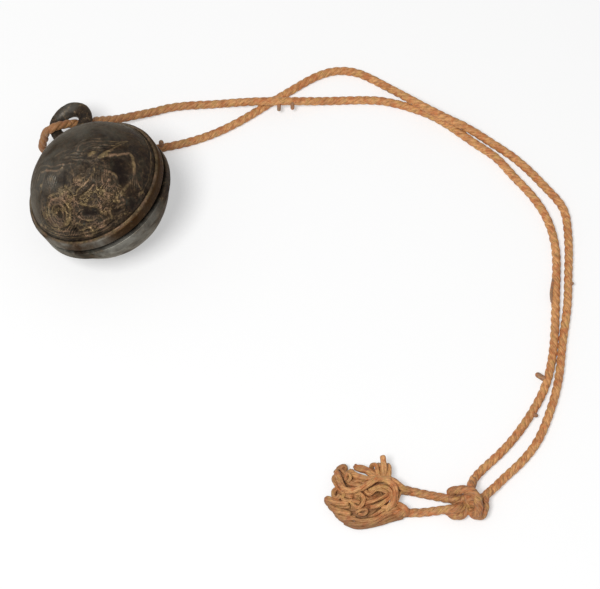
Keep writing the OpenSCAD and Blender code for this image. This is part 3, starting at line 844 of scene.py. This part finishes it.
def front_relief(u, v):
    """Height of the cast ornament over the dome, and how much small curled work is on it."""
    wander_u, wander_v = wandering(u, v, *LINE_WANDER)
    wear = WEAR_LEAST + WEAR_MORE * soft_noise(u, v, *WEAR_PATCHES)
    lines = np.zeros(len(u))
    groove = np.zeros(len(u))
    for width, rise, points in RELIEF_LINES:
        away = distance_to_line(wander_u, wander_v, points)
        line = rise * wear * np.exp(-(away / (LINE_SPREAD * width)) ** 2)
        lines = np.maximum(lines, line)
        groove = np.minimum(groove, line)
    height = lines + groove
    for x, y, reach_u, reach_v, rise in BOSSES:
        height += rise * np.exp(-(np.hypot((wander_u - x) / reach_u, (wander_v - y) / reach_v)) ** 4)
    from_edge = DOME_R * DOME_EDGE - np.hypot(wander_u, wander_v)
    off_middle = np.abs(np.arctan2(v, u) - BORDER_MIDDLE)
    on_border = 1 - smooth_share(off_middle, BORDER_FULL, BORDER_SPREAD)
    for inside, width, rise in BORDER_LINES:
        height += rise * on_border * np.exp(-((from_edge - inside) / width) ** 2)
    for x, y in BEADS:
        height += BEAD_RISE * np.exp(-(np.hypot(wander_u - x, wander_v - y) / BEAD_R) ** 4)
    for x, y, radius, width, rise in RINGS:
        height += rise * wear * np.exp(-((np.hypot(wander_u - x, wander_v - y) - radius) / width) ** 2)
    ragged_u, ragged_v = wandering(u, v, *EDGE_WANDER)
    for x, y, reach_u, reach_v, depth in SUNK_PLACES:
        height -= depth * patch_share(ragged_u, ragged_v, x, y, reach_u, reach_v, SUNK_EDGE)
    locks = np.zeros(len(u))
    for x, y, reach_u, reach_v, rise in CURL_PATCHES:
        locks = np.maximum(locks, rise * patch_share(u, v, x, y, reach_u, reach_v))
    coarse = curls(wander_u, wander_v, *COARSE_CURLS)
    fine = curls(wander_u, wander_v, *FINE_CURLS)
    height += CURL_SHARE * locks * (coarse + FINE_SHARE * fine - CURL_OFFSET)
    for x, y, reach_u, reach_v, direction, spacing, rise in STROKE_PATCHES:
        turn = math.radians(direction)
        across = (wander_v * math.cos(turn) - wander_u * math.sin(turn)) / spacing
        height += rise * patch_share(u, v, x, y, reach_u, reach_v) * np.cos(2 * math.pi * across)
    sunk = smooth_share(-height, *BARE_DEPTH)
    lower = LOWER_WORK * smooth_share(-v, *LOWER_FROM) * smooth_share(LOWER_EDGE - u, 0, LOWER_FADE)
    return height, np.clip(LOCK_WORK * locks + lower, 0, 1) * (1 - sunk)


# Hollows and swellings of the castings: height, size and chance number
FRONT_WAVES = ((0.16, 9.0, 3.0), (0.07, 2.4, 8.0))
BACK_WAVES = ((0.14, 10.0, 5.0), (0.06, 2.6, 1.0))
RING_WAVES = ((0.3, 7.0, 4.0), (0.12, 2.2, 9.0))


def cast_waves(points, waves):
    """Slow hollows and swellings of a sand casting."""
    total = np.zeros(len(points))
    for rise, size, seed in waves:
        shift = Vector((seed, -seed, 2 * seed))
        total += rise * np.array([noise.noise(Vector(p) / size + shift) for p in points])
    return total


def put_attribute(piece, name, values):
    made = piece.data.attributes.new(name, "FLOAT", "POINT")
    made.data.foreach_set("value", np.asarray(values, np.float32))


def point_array(piece):
    flat = np.zeros(len(piece.data.vertices) * 3)
    piece.data.vertices.foreach_get("co", flat)
    return flat.reshape(-1, 3)


def move_points(piece, points):
    piece.data.vertices.foreach_set("co", np.asarray(points, np.float32).ravel())
    piece.data.update()


def make_front_cheek():
    piece = spin_section("front_cheek", cheek_section(*FRONT_POINTS), FRONT_STEPS)
    points = point_array(piece)
    from_centre = points + np.array((0, 0, DOME_DROP))
    reach = np.linalg.norm(from_centre, axis=1)
    outward = from_centre / reach[:, None]
    outer = reach > HOLLOW_R + OUTER_SHARE * WALL
    colat = np.arccos(np.clip(outward[:, 2], -1, 1))
    lon = np.arctan2(points[:, 1], points[:, 0])
    u = DOME_R * colat * np.cos(lon)
    v = DOME_R * colat * np.sin(lon)
    on_dome = outer & (colat < DOME_EDGE)
    height = np.zeros(len(points))
    locks = np.zeros(len(points))
    height[on_dome], locks[on_dome] = front_relief(u[on_dome], v[on_dome])
    inside_edge = smooth_share(DOME_R * (DOME_EDGE - colat), *RELIEF_EDGE)
    height *= inside_edge
    cast = np.zeros(len(points))
    cast[outer] = cast_waves(points[outer], FRONT_WAVES)
    move_points(piece, points + outward * (height + cast)[:, None])
    from_axis = np.hypot(points[:, 0], points[:, 1])
    from_ridge = np.hypot(from_axis - CHEEK_D / 2 - RIDGE_R, points[:, 2] - BAND_TOP)
    ridge = outer & (from_ridge < RIDGE_R + RIDGE_NEAR) & (points[:, 2] > BAND_TOP + RIDGE_NEAR)
    put_attribute(piece, "raised", np.maximum(smooth_share(height, *RUBBED_RISE), RIDGE_RUBBED * ridge))
    put_attribute(piece, "locks", locks * inside_edge)
    put_attribute(piece, "sunk", smooth_share(-height, *DARK_DEPTH))
    band = outer & ~ridge & (points[:, 2] < BAND_TOP)
    # Dust with a painted sheen: greyer on the side of the dome and the stretch of the band towards the light
    dust_and_sheen_share = smooth_share(DUST_AND_SHEEN_SIDE[0] * u + DUST_AND_SHEEN_SIDE[1] * v, -DUST_AND_SHEEN_REACH, DUST_AND_SHEEN_REACH)
    dust_and_sheen_share[band] = BAND_DUST_AND_SHEEN * smooth_share(np.cos(lon[band] - BAND_DUST_AND_SHEEN_AT), *BAND_DUST_AND_SHEEN_SPREAD)
    put_attribute(piece, "dust_and_sheen_share", dust_and_sheen_share)
    put_attribute(piece, "band", band)
    piece.data.transform(IN_METRES @ LYING)
    return piece


def make_back_cheek():
    piece = spin_section("back_cheek", [(r, -z) for r, z in cheek_section(*BACK_POINTS)], BACK_STEPS)
    points = point_array(piece)
    from_centre = points - np.array((0, 0, DOME_DROP))
    reach = np.linalg.norm(from_centre, axis=1)
    outer = reach > HOLLOW_R + OUTER_SHARE * WALL
    cast = np.zeros(len(points))
    cast[outer] = cast_waves(points[outer], BACK_WAVES)
    move_points(piece, points + from_centre / reach[:, None] * cast[:, None])
    piece.data.transform(LYING)
    laid = point_array(piece)
    laid[:, 2] = np.maximum(laid[:, 2], 0)
    move_points(piece, laid)
    # Dust with a painted sheen, greyer towards the front of the table, where the light comes from
    towards = BACK_DUST_AND_SHEEN_SIDE[0] * laid[:, 0] + BACK_DUST_AND_SHEEN_SIDE[1] * laid[:, 1]
    put_attribute(piece, "dust_and_sheen_share", smooth_share(towards, 0, BACK_DUST_AND_SHEEN_REACH))
    piece.data.transform(IN_METRES)
    return piece


front_cheek = make_front_cheek()
back_cheek = make_back_cheek()

NECK_FOOT_R = 6.0
NECK_TOP_R = 4.0
# How far the neck reaches into the bar
NECK_LAP = 2.4
RING_VOXEL = 0.42
# The bar is thicker towards its upper right
BAR_SWELL = 0.45
SWELL_AT = math.radians(30)
HEAD_SIZE = (13.0, 4.0, 8.0)
HEAD_EDGE = 1.2
TANG_EDGE = 0.4
# How far the tang reaches out of the rim and laps the head, and the head stands back from the rim
TANG_OUT = 0.6
TANG_LAP = 1.0
HEAD_BACK = 0.6
# Over what height the casting's waves set in above the rim, and how high the seated foot is
FOOT_BLEND = (0.5, 3.0)
FOOT_H = 1.2
SEAT_GAP = 0.1


def add_block(size, middle, bevel):
    """A block with rounded edges, for what is hidden inside the bell."""
    bpy.ops.mesh.primitive_cube_add(size=1, location=middle)
    block = bpy.context.active_object
    block.scale = size
    bpy.ops.object.transform_apply(location=False, rotation=False, scale=True)
    bpy.ops.object.mode_set(mode="EDIT")
    bpy.ops.mesh.select_all(action="SELECT")
    bpy.ops.mesh.bevel(offset=bevel, segments=3, affect="EDGES")
    bpy.ops.object.mode_set(mode="OBJECT")
    return block


def make_ring():
    """The cast ring on its flared neck, with the tang and the peened head inside."""
    bpy.ops.object.select_all(action="DESELECT")
    bpy.ops.mesh.primitive_torus_add(location=(0, RING_Y, 0), major_radius=RING_R, minor_radius=BAR_R,
                                     major_segments=96, minor_segments=36)
    ring = bpy.context.active_object
    neck_l = RING_STAND - RING_R + NECK_LAP
    bpy.ops.mesh.primitive_cone_add(
        vertices=64, radius1=NECK_FOOT_R, radius2=NECK_TOP_R, depth=neck_l,
        location=(0, RIM_R + SEAT_GAP + neck_l / 2, 0), rotation=(-math.pi / 2, 0, 0))
    neck = bpy.context.active_object
    pick_only(ring)
    neck.select_set(True)
    bpy.ops.object.join()
    bpy.ops.object.transform_apply(location=True, rotation=True, scale=True)
    remesh = ring.modifiers.new("one_casting", "REMESH")
    remesh.mode = "VOXEL"
    remesh.voxel_size = RING_VOXEL
    bpy.ops.object.modifier_apply(modifier=remesh.name)
    soften = ring.modifiers.new("soft_corners", "SMOOTH")
    soften.factor = 0.5
    soften.iterations = 8
    bpy.ops.object.modifier_apply(modifier=soften.name)
    points = point_array(ring)
    along = np.stack([points[:, 0], points[:, 1] - RING_Y, np.zeros(len(points))], axis=1)
    bar = unit_rows(along) * RING_R + np.array((0, RING_Y, 0))
    outward = unit_rows(points - bar)
    cast = cast_waves(points, RING_WAVES)
    turn = np.arctan2(points[:, 1] - RING_Y, points[:, 0])
    swell = BAR_SWELL * np.cos(turn - SWELL_AT)
    share = smooth_share(points[:, 1] - RIM_R, *FOOT_BLEND)
    points = points + outward * ((cast + swell) * share)[:, None]
    foot = points[:, 1] < RIM_R + FOOT_H
    seat = np.sqrt(np.maximum((RIM_R + SEAT_GAP) ** 2 - points[foot, 0] ** 2, 0))
    points[foot, 1] = np.maximum(points[foot, 1], seat)
    move_points(ring, points)
    tang_l = RIM_R - HOLLOW_R + HEAD_SIZE[1] + TANG_LAP
    tang_size = (TANG_W - SEAT_GAP, tang_l, SLOT_GAP - SEAT_GAP)
    tang = add_block(tang_size, (0, RIM_R + TANG_OUT - tang_l / 2, 0), TANG_EDGE)
    head = add_block(HEAD_SIZE, (0, RIM_INNER_R - HEAD_SIZE[1] / 2 - HEAD_BACK, 0), HEAD_EDGE)
    pick_only(ring)
    tang.select_set(True)
    head.select_set(True)
    bpy.ops.object.join()
    bpy.ops.object.transform_apply(location=True, rotation=True, scale=True)
    ring.name = "suspension_ring_cast"
    points = point_array(ring)
    # Dust with a painted sheen, greyer on the far bend and the left limb
    towards = RING_DUST_AND_SHEEN_SIDE[0] * points[:, 0] + RING_DUST_AND_SHEEN_SIDE[1] * (points[:, 1] - RING_Y)
    put_attribute(ring, "dust_and_sheen_share", smooth_share(towards, *RING_DUST_AND_SHEEN_SPREAD))
    ring.data.transform(IN_METRES @ LYING)
    bpy.ops.object.shade_smooth_by_angle(angle=math.radians(50))
    return ring


ring = make_ring()

for piece, node, slot in (
    (front_cheek, "front_shell", "bronze_front"),
    (back_cheek, "back_shell", "bronze_back"),
    (ring, "suspension_ring", "bronze_ring"),
):
    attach(piece, "bell")
    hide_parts(node)


# Materials
def add_node(tree, kind, inputs=None, **settings):
    made = tree.nodes.new(kind)
    for name, value in settings.items():
        setattr(made, name, value)
    for name, value in (inputs or {}).items():
        if isinstance(value, bpy.types.NodeSocket):
            tree.links.new(value, made.inputs[name])
        else:
            made.inputs[name].default_value = value
    return made


def new_material(name):
    material = bpy.data.materials.new(name)
    material.use_nodes = True
    tree = material.node_tree
    return material, tree, tree.nodes["Principled BSDF"]


def object_place(tree):
    return add_node(tree, "ShaderNodeTexCoord").outputs["Object"]


def noise_value(tree, place, size, detail=4.0, roughness=0.55, distortion=0.0):
    """Noise whose features are about one size, in metres, across."""
    return add_node(tree, "ShaderNodeTexNoise", {
        "Vector": place, "Scale": 1 / size, "Detail": detail,
        "Roughness": roughness, "Distortion": distortion,
    }).outputs["Fac"]


def mapped(tree, value, low, high, out_low=0.0, out_high=1.0):
    return add_node(tree, "ShaderNodeMapRange", {
        "Value": value, "From Min": low, "From Max": high, "To Min": out_low, "To Max": out_high,
    }, interpolation_type="SMOOTHSTEP").outputs["Result"]


def math_of(tree, operation, a, b=0.0, clamp=True):
    made = tree.nodes.new("ShaderNodeMath")
    made.operation = operation
    made.use_clamp = clamp
    for socket, value in zip(made.inputs, (a, b)):
        if isinstance(value, bpy.types.NodeSocket):
            tree.links.new(value, socket)
        else:
            socket.default_value = value
    return made.outputs[0]


def product(tree, a, b):
    return math_of(tree, "MULTIPLY", a, b)


def mixed(tree, share, under, over):
    """One colour over another, by a share from 0 to 1."""
    made = tree.nodes.new("ShaderNodeMix")
    made.data_type = "RGBA"
    for socket, value in ((made.inputs[0], share), (made.inputs[6], under), (made.inputs[7], over)):
        if isinstance(value, bpy.types.NodeSocket):
            tree.links.new(value, socket)
        else:
            socket.default_value = value if isinstance(value, float) else (*value, 1.0)
    return made.outputs[2]


def bumped(tree, height, strength, distance, under=None):
    inputs = {"Height": height, "Strength": strength, "Distance": distance}
    if under is not None:
        inputs["Normal"] = under
    return add_node(tree, "ShaderNodeBump", inputs).outputs["Normal"]


BLACK_BRONZE = (0.006, 0.005, 0.0045)
DARK_BRONZE = (0.0115, 0.0083, 0.0075)
BROWN_BRONZE = (0.03, 0.019, 0.0115)
RED_BRONZE = (0.06, 0.034, 0.021)
OLIVE_BRONZE = (0.041, 0.037, 0.024)
BAND_BRONZE = (0.031, 0.014, 0.004)
WORN_BRONZE = (0.215, 0.15, 0.072)
PINK_BRONZE = (0.215, 0.128, 0.08)
BRIGHT_BRONZE = (0.48, 0.32, 0.17)
# Grey of a dust film, which by place also paints a sheen
DUST_AND_SHEEN_GREY = (0.25, 0.242, 0.21)
GREEN_PATINA = (0.045, 0.062, 0.055)
LEAST_DUST = 0.04
# Sizes of the bronze's patterns, and depths of its bumps, in metres
CLOUD_SIZE = 0.011
HUE_SIZE = 0.0065
SPOT_SIZE = 0.0026
GRAIN_SIZE = 0.0016
GRIT_SIZE = 0.0007
RUB_SIZE = 0.006
GREEN_SIZE = 0.006
FILM_SIZE = 0.017
SPOT_DEPTH = 0.0006
CURL_DEPTH = 0.0006
GRIT_DEPTH = 0.0002
# How much an old metal still shines as metal, and the gloss of what covers it
METAL_SHARE = 0.5
COVER_GLOSS = 0.1
COVER_TINT = (0.5, 0.42, 0.32, 1.0)
# Small curls: their size in metres, how far they are bent and over what distance, and the turn of their
# rings over one size, in radians
SMALL_CURL = 0.0036
CURL_BEND = 0.0016
CURL_BEND_SIZE = 0.004
CURL_RINGS = 12.0


def attribute(tree, name):
    return add_node(tree, "ShaderNodeAttribute", attribute_name=name).outputs["Fac"]


def small_curls(tree, place):
    """Rings round the middles of small cells, from 0 to 1 high."""
    bent = add_node(tree, "ShaderNodeTexNoise", {
        "Vector": place, "Scale": 1 / CURL_BEND_SIZE, "Detail": 2.0}).outputs["Color"]
    shift = add_node(tree, "ShaderNodeVectorMath", {
        0: bent, "Scale": CURL_BEND}, operation="SCALE").outputs[0]
    moved = add_node(tree, "ShaderNodeVectorMath", {0: place, 1: shift}, operation="ADD").outputs[0]
    cells = add_node(tree, "ShaderNodeTexVoronoi", {
        "Vector": moved, "Scale": 1 / SMALL_CURL}).outputs["Distance"]
    wave = math_of(tree, "SINE", math_of(tree, "MULTIPLY", cells, CURL_RINGS, clamp=False), clamp=False)
    return mapped(tree, wave, -0.3, 0.9)


def bronze(name, worn, dust_and_sheen, with_relief=False, dust_and_sheen_by_place=True):
    """Old bronze: dark in its hollows, golden where it is rubbed, with dust, a painted sheen where the light
    falls, and some green.
    """
    material, tree, shader = new_material(name)
    place = object_place(tree)
    clouds = noise_value(tree, place, CLOUD_SIZE, 5.0)
    spots = noise_value(tree, place, SPOT_SIZE, 4.0, 0.65)
    grit = noise_value(tree, place, GRIT_SIZE, 3.0, 0.6)
    hue = noise_value(tree, place, HUE_SIZE, 3.0)
    colour = mixed(tree, mapped(tree, clouds, 0.35, 0.68), DARK_BRONZE, BROWN_BRONZE)
    colour = mixed(tree, mapped(tree, hue, 0.45, 0.7, 0.0, 0.6), colour, OLIVE_BRONZE)
    grain = noise_value(tree, place, GRAIN_SIZE, 4.0, 0.7)
    colour = mixed(tree, mapped(tree, grain, 0.48, 0.72, 0.0, 0.7), colour, RED_BRONZE)
    colour = mixed(tree, mapped(tree, grain, 0.3, 0.46, 0.75, 0.0), colour, BLACK_BRONZE)
    rub = product(tree, mapped(tree, spots, 0.48, 0.78), worn)
    normal = bumped(tree, spots, 0.35, SPOT_DEPTH)
    if with_relief:
        brown = product(tree, attribute(tree, "band"), mapped(tree, clouds, 0.3, 0.6, 0.6, 0.97))
        colour = mixed(tree, brown, colour, BAND_BRONZE)
        small_work = product(tree, attribute(tree, "locks"), small_curls(tree, place))
        relief = math_of(tree, "MAXIMUM", attribute(tree, "raised"), product(tree, small_work, 0.75))
        wear = noise_value(tree, place, RUB_SIZE, 3.0)
        patches = mapped(tree, wear, 0.3, 0.6, 0.35, 1.0)
        specks = mapped(tree, grain, 0.3, 0.6, 0.35, 1.0)
        rub = math_of(tree, "ADD", rub, product(tree, relief, product(tree, patches, specks)))
        normal = bumped(tree, small_work, 0.8, CURL_DEPTH, normal)
    gold = mixed(tree, mapped(tree, hue, 0.42, 0.62), WORN_BRONZE, PINK_BRONZE)
    gold = mixed(tree, mapped(tree, spots, 0.56, 0.76, 0.0, 0.9), gold, BRIGHT_BRONZE)
    colour = mixed(tree, rub, colour, gold)
    green = noise_value(tree, place, GREEN_SIZE, 4.0, 0.7, 1.0)
    colour = mixed(tree, mapped(tree, green, 0.6, 0.78, 0.0, 0.5), colour, GREEN_PATINA)
    film = noise_value(tree, place, FILM_SIZE, 6.0, 0.6, 0.6)
    # A grey film of dust, and by place a painted sheen on the sides towards the light
    if dust_and_sheen_by_place:
        dust_and_sheen = math_of(tree, "ADD", LEAST_DUST, product(tree, attribute(tree, "dust_and_sheen_share"), dust_and_sheen))
    colour = mixed(tree, mapped(tree, film, 0.3, 0.7, 0.0, dust_and_sheen), colour, DUST_AND_SHEEN_GREY)
    if with_relief:
        hollow = product(tree, attribute(tree, "sunk"), mapped(tree, spots, 0.35, 0.65, 0.95, 0.6))
        colour = mixed(tree, hollow, colour, DARK_BRONZE)
    tree.links.new(colour, shader.inputs["Base Color"])
    tree.links.new(mapped(tree, spots, 0.3, 0.75, 0.38, 0.6), shader.inputs["Roughness"])
    shader.inputs["Metallic"].default_value = METAL_SHARE
    shader.inputs["Specular IOR Level"].default_value = COVER_GLOSS
    shader.inputs["Specular Tint"].default_value = COVER_TINT
    tree.links.new(bumped(tree, grit, 0.3, GRIT_DEPTH, normal), shader.inputs["Normal"])
    return material


IRON = (0.05, 0.045, 0.042)
RUST = (0.12, 0.05, 0.024)
RUST_SIZE = 0.004
PIT_SIZE = 0.0012
PIT_DEPTH = 0.0003


def rusty_iron():
    material, tree, shader = new_material("rusty_iron")
    place = object_place(tree)
    rust = noise_value(tree, place, RUST_SIZE, 5.0, 0.65)
    colour = mixed(tree, mapped(tree, rust, 0.4, 0.62), IRON, RUST)
    tree.links.new(colour, shader.inputs["Base Color"])
    tree.links.new(mapped(tree, rust, 0.3, 0.7, 0.45, 0.85), shader.inputs["Roughness"])
    shader.inputs["Metallic"].default_value = METAL_SHARE
    pits = noise_value(tree, place, PIT_SIZE, 4.0)
    tree.links.new(bumped(tree, pits, 0.5, PIT_DEPTH), shader.inputs["Normal"])
    return material


# How far round a strand its fibres turn in a millimetre, so that they lie along the cord
FIBRE_TURN = 0.036
# How close the threads lie round a strand and along it
THREAD_SCALE = (16.0, 0.3, 1.0)
# Sizes of the fibre's patterns, and the depth between its threads, in metres
STRETCH_SIZE = 0.009
TINT_SIZE = 0.0045
SPECK_SIZE = 0.0024
THREAD_DEPTH = 0.0003
FIBRE_RED = (0.5, 0.165, 0.046)
FIBRE_OLIVE = (0.54, 0.305, 0.092)
FIBRE_GREY = (0.16, 0.13, 0.1)
# The painted shade between threads, and the darker colour near the bell and in the tangle's painted shade,
# as shares of the dark one
THREAD_SHADE = 0.45
DARKER_FIBRE_SHARE = 0.36
# The cord is darker near the bell, most at the left of the ring
NEAR_BELL_DARK_FROM = -0.05
NEAR_BELL_DARK_TO = 0.12


def fibre(name, light, dark, grey=0.0, painted_shade_height=0.0):
    """Waxed plant fibre: fine threads, lighter and darker stretches, darker near the bell, with painted
    shade between threads and, where asked, on low strands.
    """
    material, tree, shader = new_material(name)
    place = object_place(tree)
    run = add_node(tree, "ShaderNodeUVMap", uv_map="lay").outputs["UV"]
    parts = add_node(tree, "ShaderNodeSeparateXYZ", {"Vector": run})
    turned = add_node(tree, "ShaderNodeMath", operation="MULTIPLY_ADD")
    tree.links.new(parts.outputs["Y"], turned.inputs[0])
    turned.inputs[1].default_value = FIBRE_TURN
    tree.links.new(parts.outputs["X"], turned.inputs[2])
    along = add_node(tree, "ShaderNodeCombineXYZ", {
        "X": turned.outputs[0], "Y": parts.outputs["Y"]}).outputs["Vector"]
    threads = add_node(tree, "ShaderNodeMapping", {
        "Vector": along, "Scale": THREAD_SCALE}).outputs["Vector"]
    thread = add_node(tree, "ShaderNodeTexNoise", {
        "Vector": threads, "Scale": 1.0, "Detail": 4.0, "Roughness": 0.65}).outputs["Fac"]
    stretch = noise_value(tree, place, STRETCH_SIZE, 3.0)
    spot = noise_value(tree, place, SPECK_SIZE, 3.0, 0.6)
    stretches = mapped(tree, stretch, 0.34, 0.7, 0.0, 0.55)
    spots = mapped(tree, spot, 0.45, 0.75, 0.0, 0.45)
    colour = mixed(tree, math_of(tree, "ADD", stretches, spots), light, dark)
    tint = noise_value(tree, place, TINT_SIZE, 3.0, 0.6)
    colour = mixed(tree, mapped(tree, tint, 0.48, 0.64, 0.0, 0.9), colour, FIBRE_RED)
    colour = mixed(tree, mapped(tree, tint, 0.34, 0.47, 0.8, 0.0), colour, FIBRE_OLIVE)
    # Painted shade in the creases between the threads
    between = tuple(THREAD_SHADE * c for c in dark)
    colour = mixed(tree, mapped(tree, thread, 0.36, 0.58, 0.7, 0.0), colour, between)
    # Darker near the bell, by the place along X
    spread = add_node(tree, "ShaderNodeSeparateXYZ", {"Vector": place})
    darker_fibre = tuple(DARKER_FIBRE_SHARE * c for c in dark)
    colour = mixed(tree, mapped(tree, spread.outputs["X"], NEAR_BELL_DARK_TO, NEAR_BELL_DARK_FROM, 0.0, 0.7), colour, darker_fibre)
    # Painted shade: the lower strands of the tangle turn darker
    if painted_shade_height:
        colour = mixed(tree, mapped(tree, spread.outputs["Z"], 0.2 * painted_shade_height, painted_shade_height, 0.75, 0.0), colour, darker_fibre)
    if grey:
        colour = mixed(tree, mapped(tree, spot, 0.3, 0.6, 0.0, grey), colour, FIBRE_GREY)
    tree.links.new(colour, shader.inputs["Base Color"])
    shader.inputs["Roughness"].default_value = 0.62
    shader.inputs["Sheen Weight"].default_value = 0.06
    shader.inputs["Sheen Roughness"].default_value = 0.5
    tree.links.new(bumped(tree, thread, 0.5, THREAD_DEPTH), shader.inputs["Normal"])
    return material


def put_material(piece, material):
    piece.data.materials.clear()
    piece.data.materials.append(material)


# Light and dark colour of the fibre
CORD_COLOURS = ((0.7, 0.345, 0.125), (0.43, 0.172, 0.052))
TAIL_COLOURS = ((0.6, 0.295, 0.115), (0.36, 0.147, 0.047))
KNOT_COLOURS = ((0.47, 0.212, 0.076), (0.26, 0.1, 0.032))
STRAND_COLOURS = ((0.7, 0.35, 0.128), (0.36, 0.145, 0.044))
CUT_COLOURS = ((0.42, 0.2, 0.085), (0.24, 0.1, 0.04))
# Below this height, in metres, the tangle turns dark with painted shade, and this much of a cut end is grey
# at most
TANGLE_PAINTED_SHADE_HEIGHT = 0.009
CUT_GREY = 0.4
cord_fibre = fibre("cord_fibre", *CORD_COLOURS)
for piece in (upper_leg, lower_leg):
    put_material(piece, cord_fibre)
tail_fibre = fibre("tail_fibre", *TAIL_COLOURS)
for piece in (tail_upper, tail_lower):
    put_material(piece, tail_fibre)
put_material(end_knot, fibre("knot_fibre", *KNOT_COLOURS))
put_material(strand_tangle, fibre("strand_fibre", *STRAND_COLOURS, painted_shade_height=TANGLE_PAINTED_SHADE_HEIGHT))
put_material(cut_ends, fibre("cut_end_fibre", *CUT_COLOURS, grey=CUT_GREY))

put_material(front_cheek, bronze("front_bronze", worn=0.2, dust_and_sheen=0.32, with_relief=True))
put_material(back_cheek, bronze("back_bronze", worn=0.25, dust_and_sheen=0.85))
put_material(ring, bronze("ring_bronze", worn=0.5, dust_and_sheen=0.42))
# The crown's film is dust alone, even all over, with no painted sheen
crown_bronze = bronze("crown_bronze", worn=0.35, dust_and_sheen=0.2, dust_and_sheen_by_place=False)
for node in ("crown_bridge_left", "crown_bridge_right"):
    put_material(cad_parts[node], crown_bronze)
put_material(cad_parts["pellet"], rusty_iron())

# Pale floor, soft light
FLOOR_HALF = 6.0
FLOOR_GLOW = 0.4
PAPER = (0.98, 0.98, 0.98, 1.0)
WHITE = (1.0, 1.0, 1.0, 1.0)
# Distances over which the floor fades to white
FLOOR_FADE = (0.35, 1.0)
WORLD_LIGHT = 0.35
KEY_PLACE = Vector((-0.6, -0.95, 2.2))
KEY_SIZE = 0.9
KEY_POWER = 46.0


def seen_ray(tree):
    """1 for rays that show the background: camera, glossy and transmission rays."""
    path = tree.nodes.new("ShaderNodeLightPath")
    either = math_of(tree, "ADD", path.outputs["Is Camera Ray"], path.outputs["Is Glossy Ray"])
    return math_of(tree, "ADD", either, path.outputs["Is Transmission Ray"])


def make_floor():
    bpy.ops.object.select_all(action="DESELECT")
    bpy.ops.mesh.primitive_plane_add(size=2 * FLOOR_HALF, location=(VIEW_TARGET.x, VIEW_TARGET.y, 0))
    floor = bpy.context.active_object
    floor.name = "floor"
    material, tree, shader = new_material("pale_floor")
    tree.nodes.remove(shader)
    paper = add_node(tree, "ShaderNodeBsdfDiffuse", {"Color": PAPER})
    glow = add_node(tree, "ShaderNodeEmission", {"Color": WHITE, "Strength": 1.0})
    place = object_place(tree)
    far = add_node(tree, "ShaderNodeVectorMath", {0: place}, operation="LENGTH").outputs["Value"]
    share = product(tree, seen_ray(tree), mapped(tree, far, *FLOOR_FADE, FLOOR_GLOW, 1.0))
    both = tree.nodes.new("ShaderNodeMixShader")
    tree.links.new(share, both.inputs[0])
    tree.links.new(paper.outputs[0], both.inputs[1])
    tree.links.new(glow.outputs[0], both.inputs[2])
    tree.links.new(both.outputs[0], tree.nodes["Material Output"].inputs["Surface"])
    floor.data.materials.append(material)


def make_light():
    world = bpy.data.worlds.new("soft_room")
    bpy.context.scene.world = world
    world.use_nodes = True
    tree = world.node_tree
    background = tree.nodes["Background"]
    background.inputs["Color"].default_value = WHITE
    strength = mapped(tree, seen_ray(tree), 0.0, 1.0, WORLD_LIGHT, 1.0)
    tree.links.new(strength, background.inputs["Strength"])
    lamp = bpy.data.lights.new("key", "AREA")
    lamp.shape = "DISK"
    lamp.size = KEY_SIZE
    lamp.energy = KEY_POWER
    holder = bpy.data.objects.new("key", lamp)
    holder.location = VIEW_TARGET + KEY_PLACE
    holder.rotation_euler = (-KEY_PLACE).to_track_quat("-Z", "Y").to_euler()
    put_in_scene(holder)


make_floor()
make_light()
bpy.context.scene.view_settings.view_transform = "Standard"
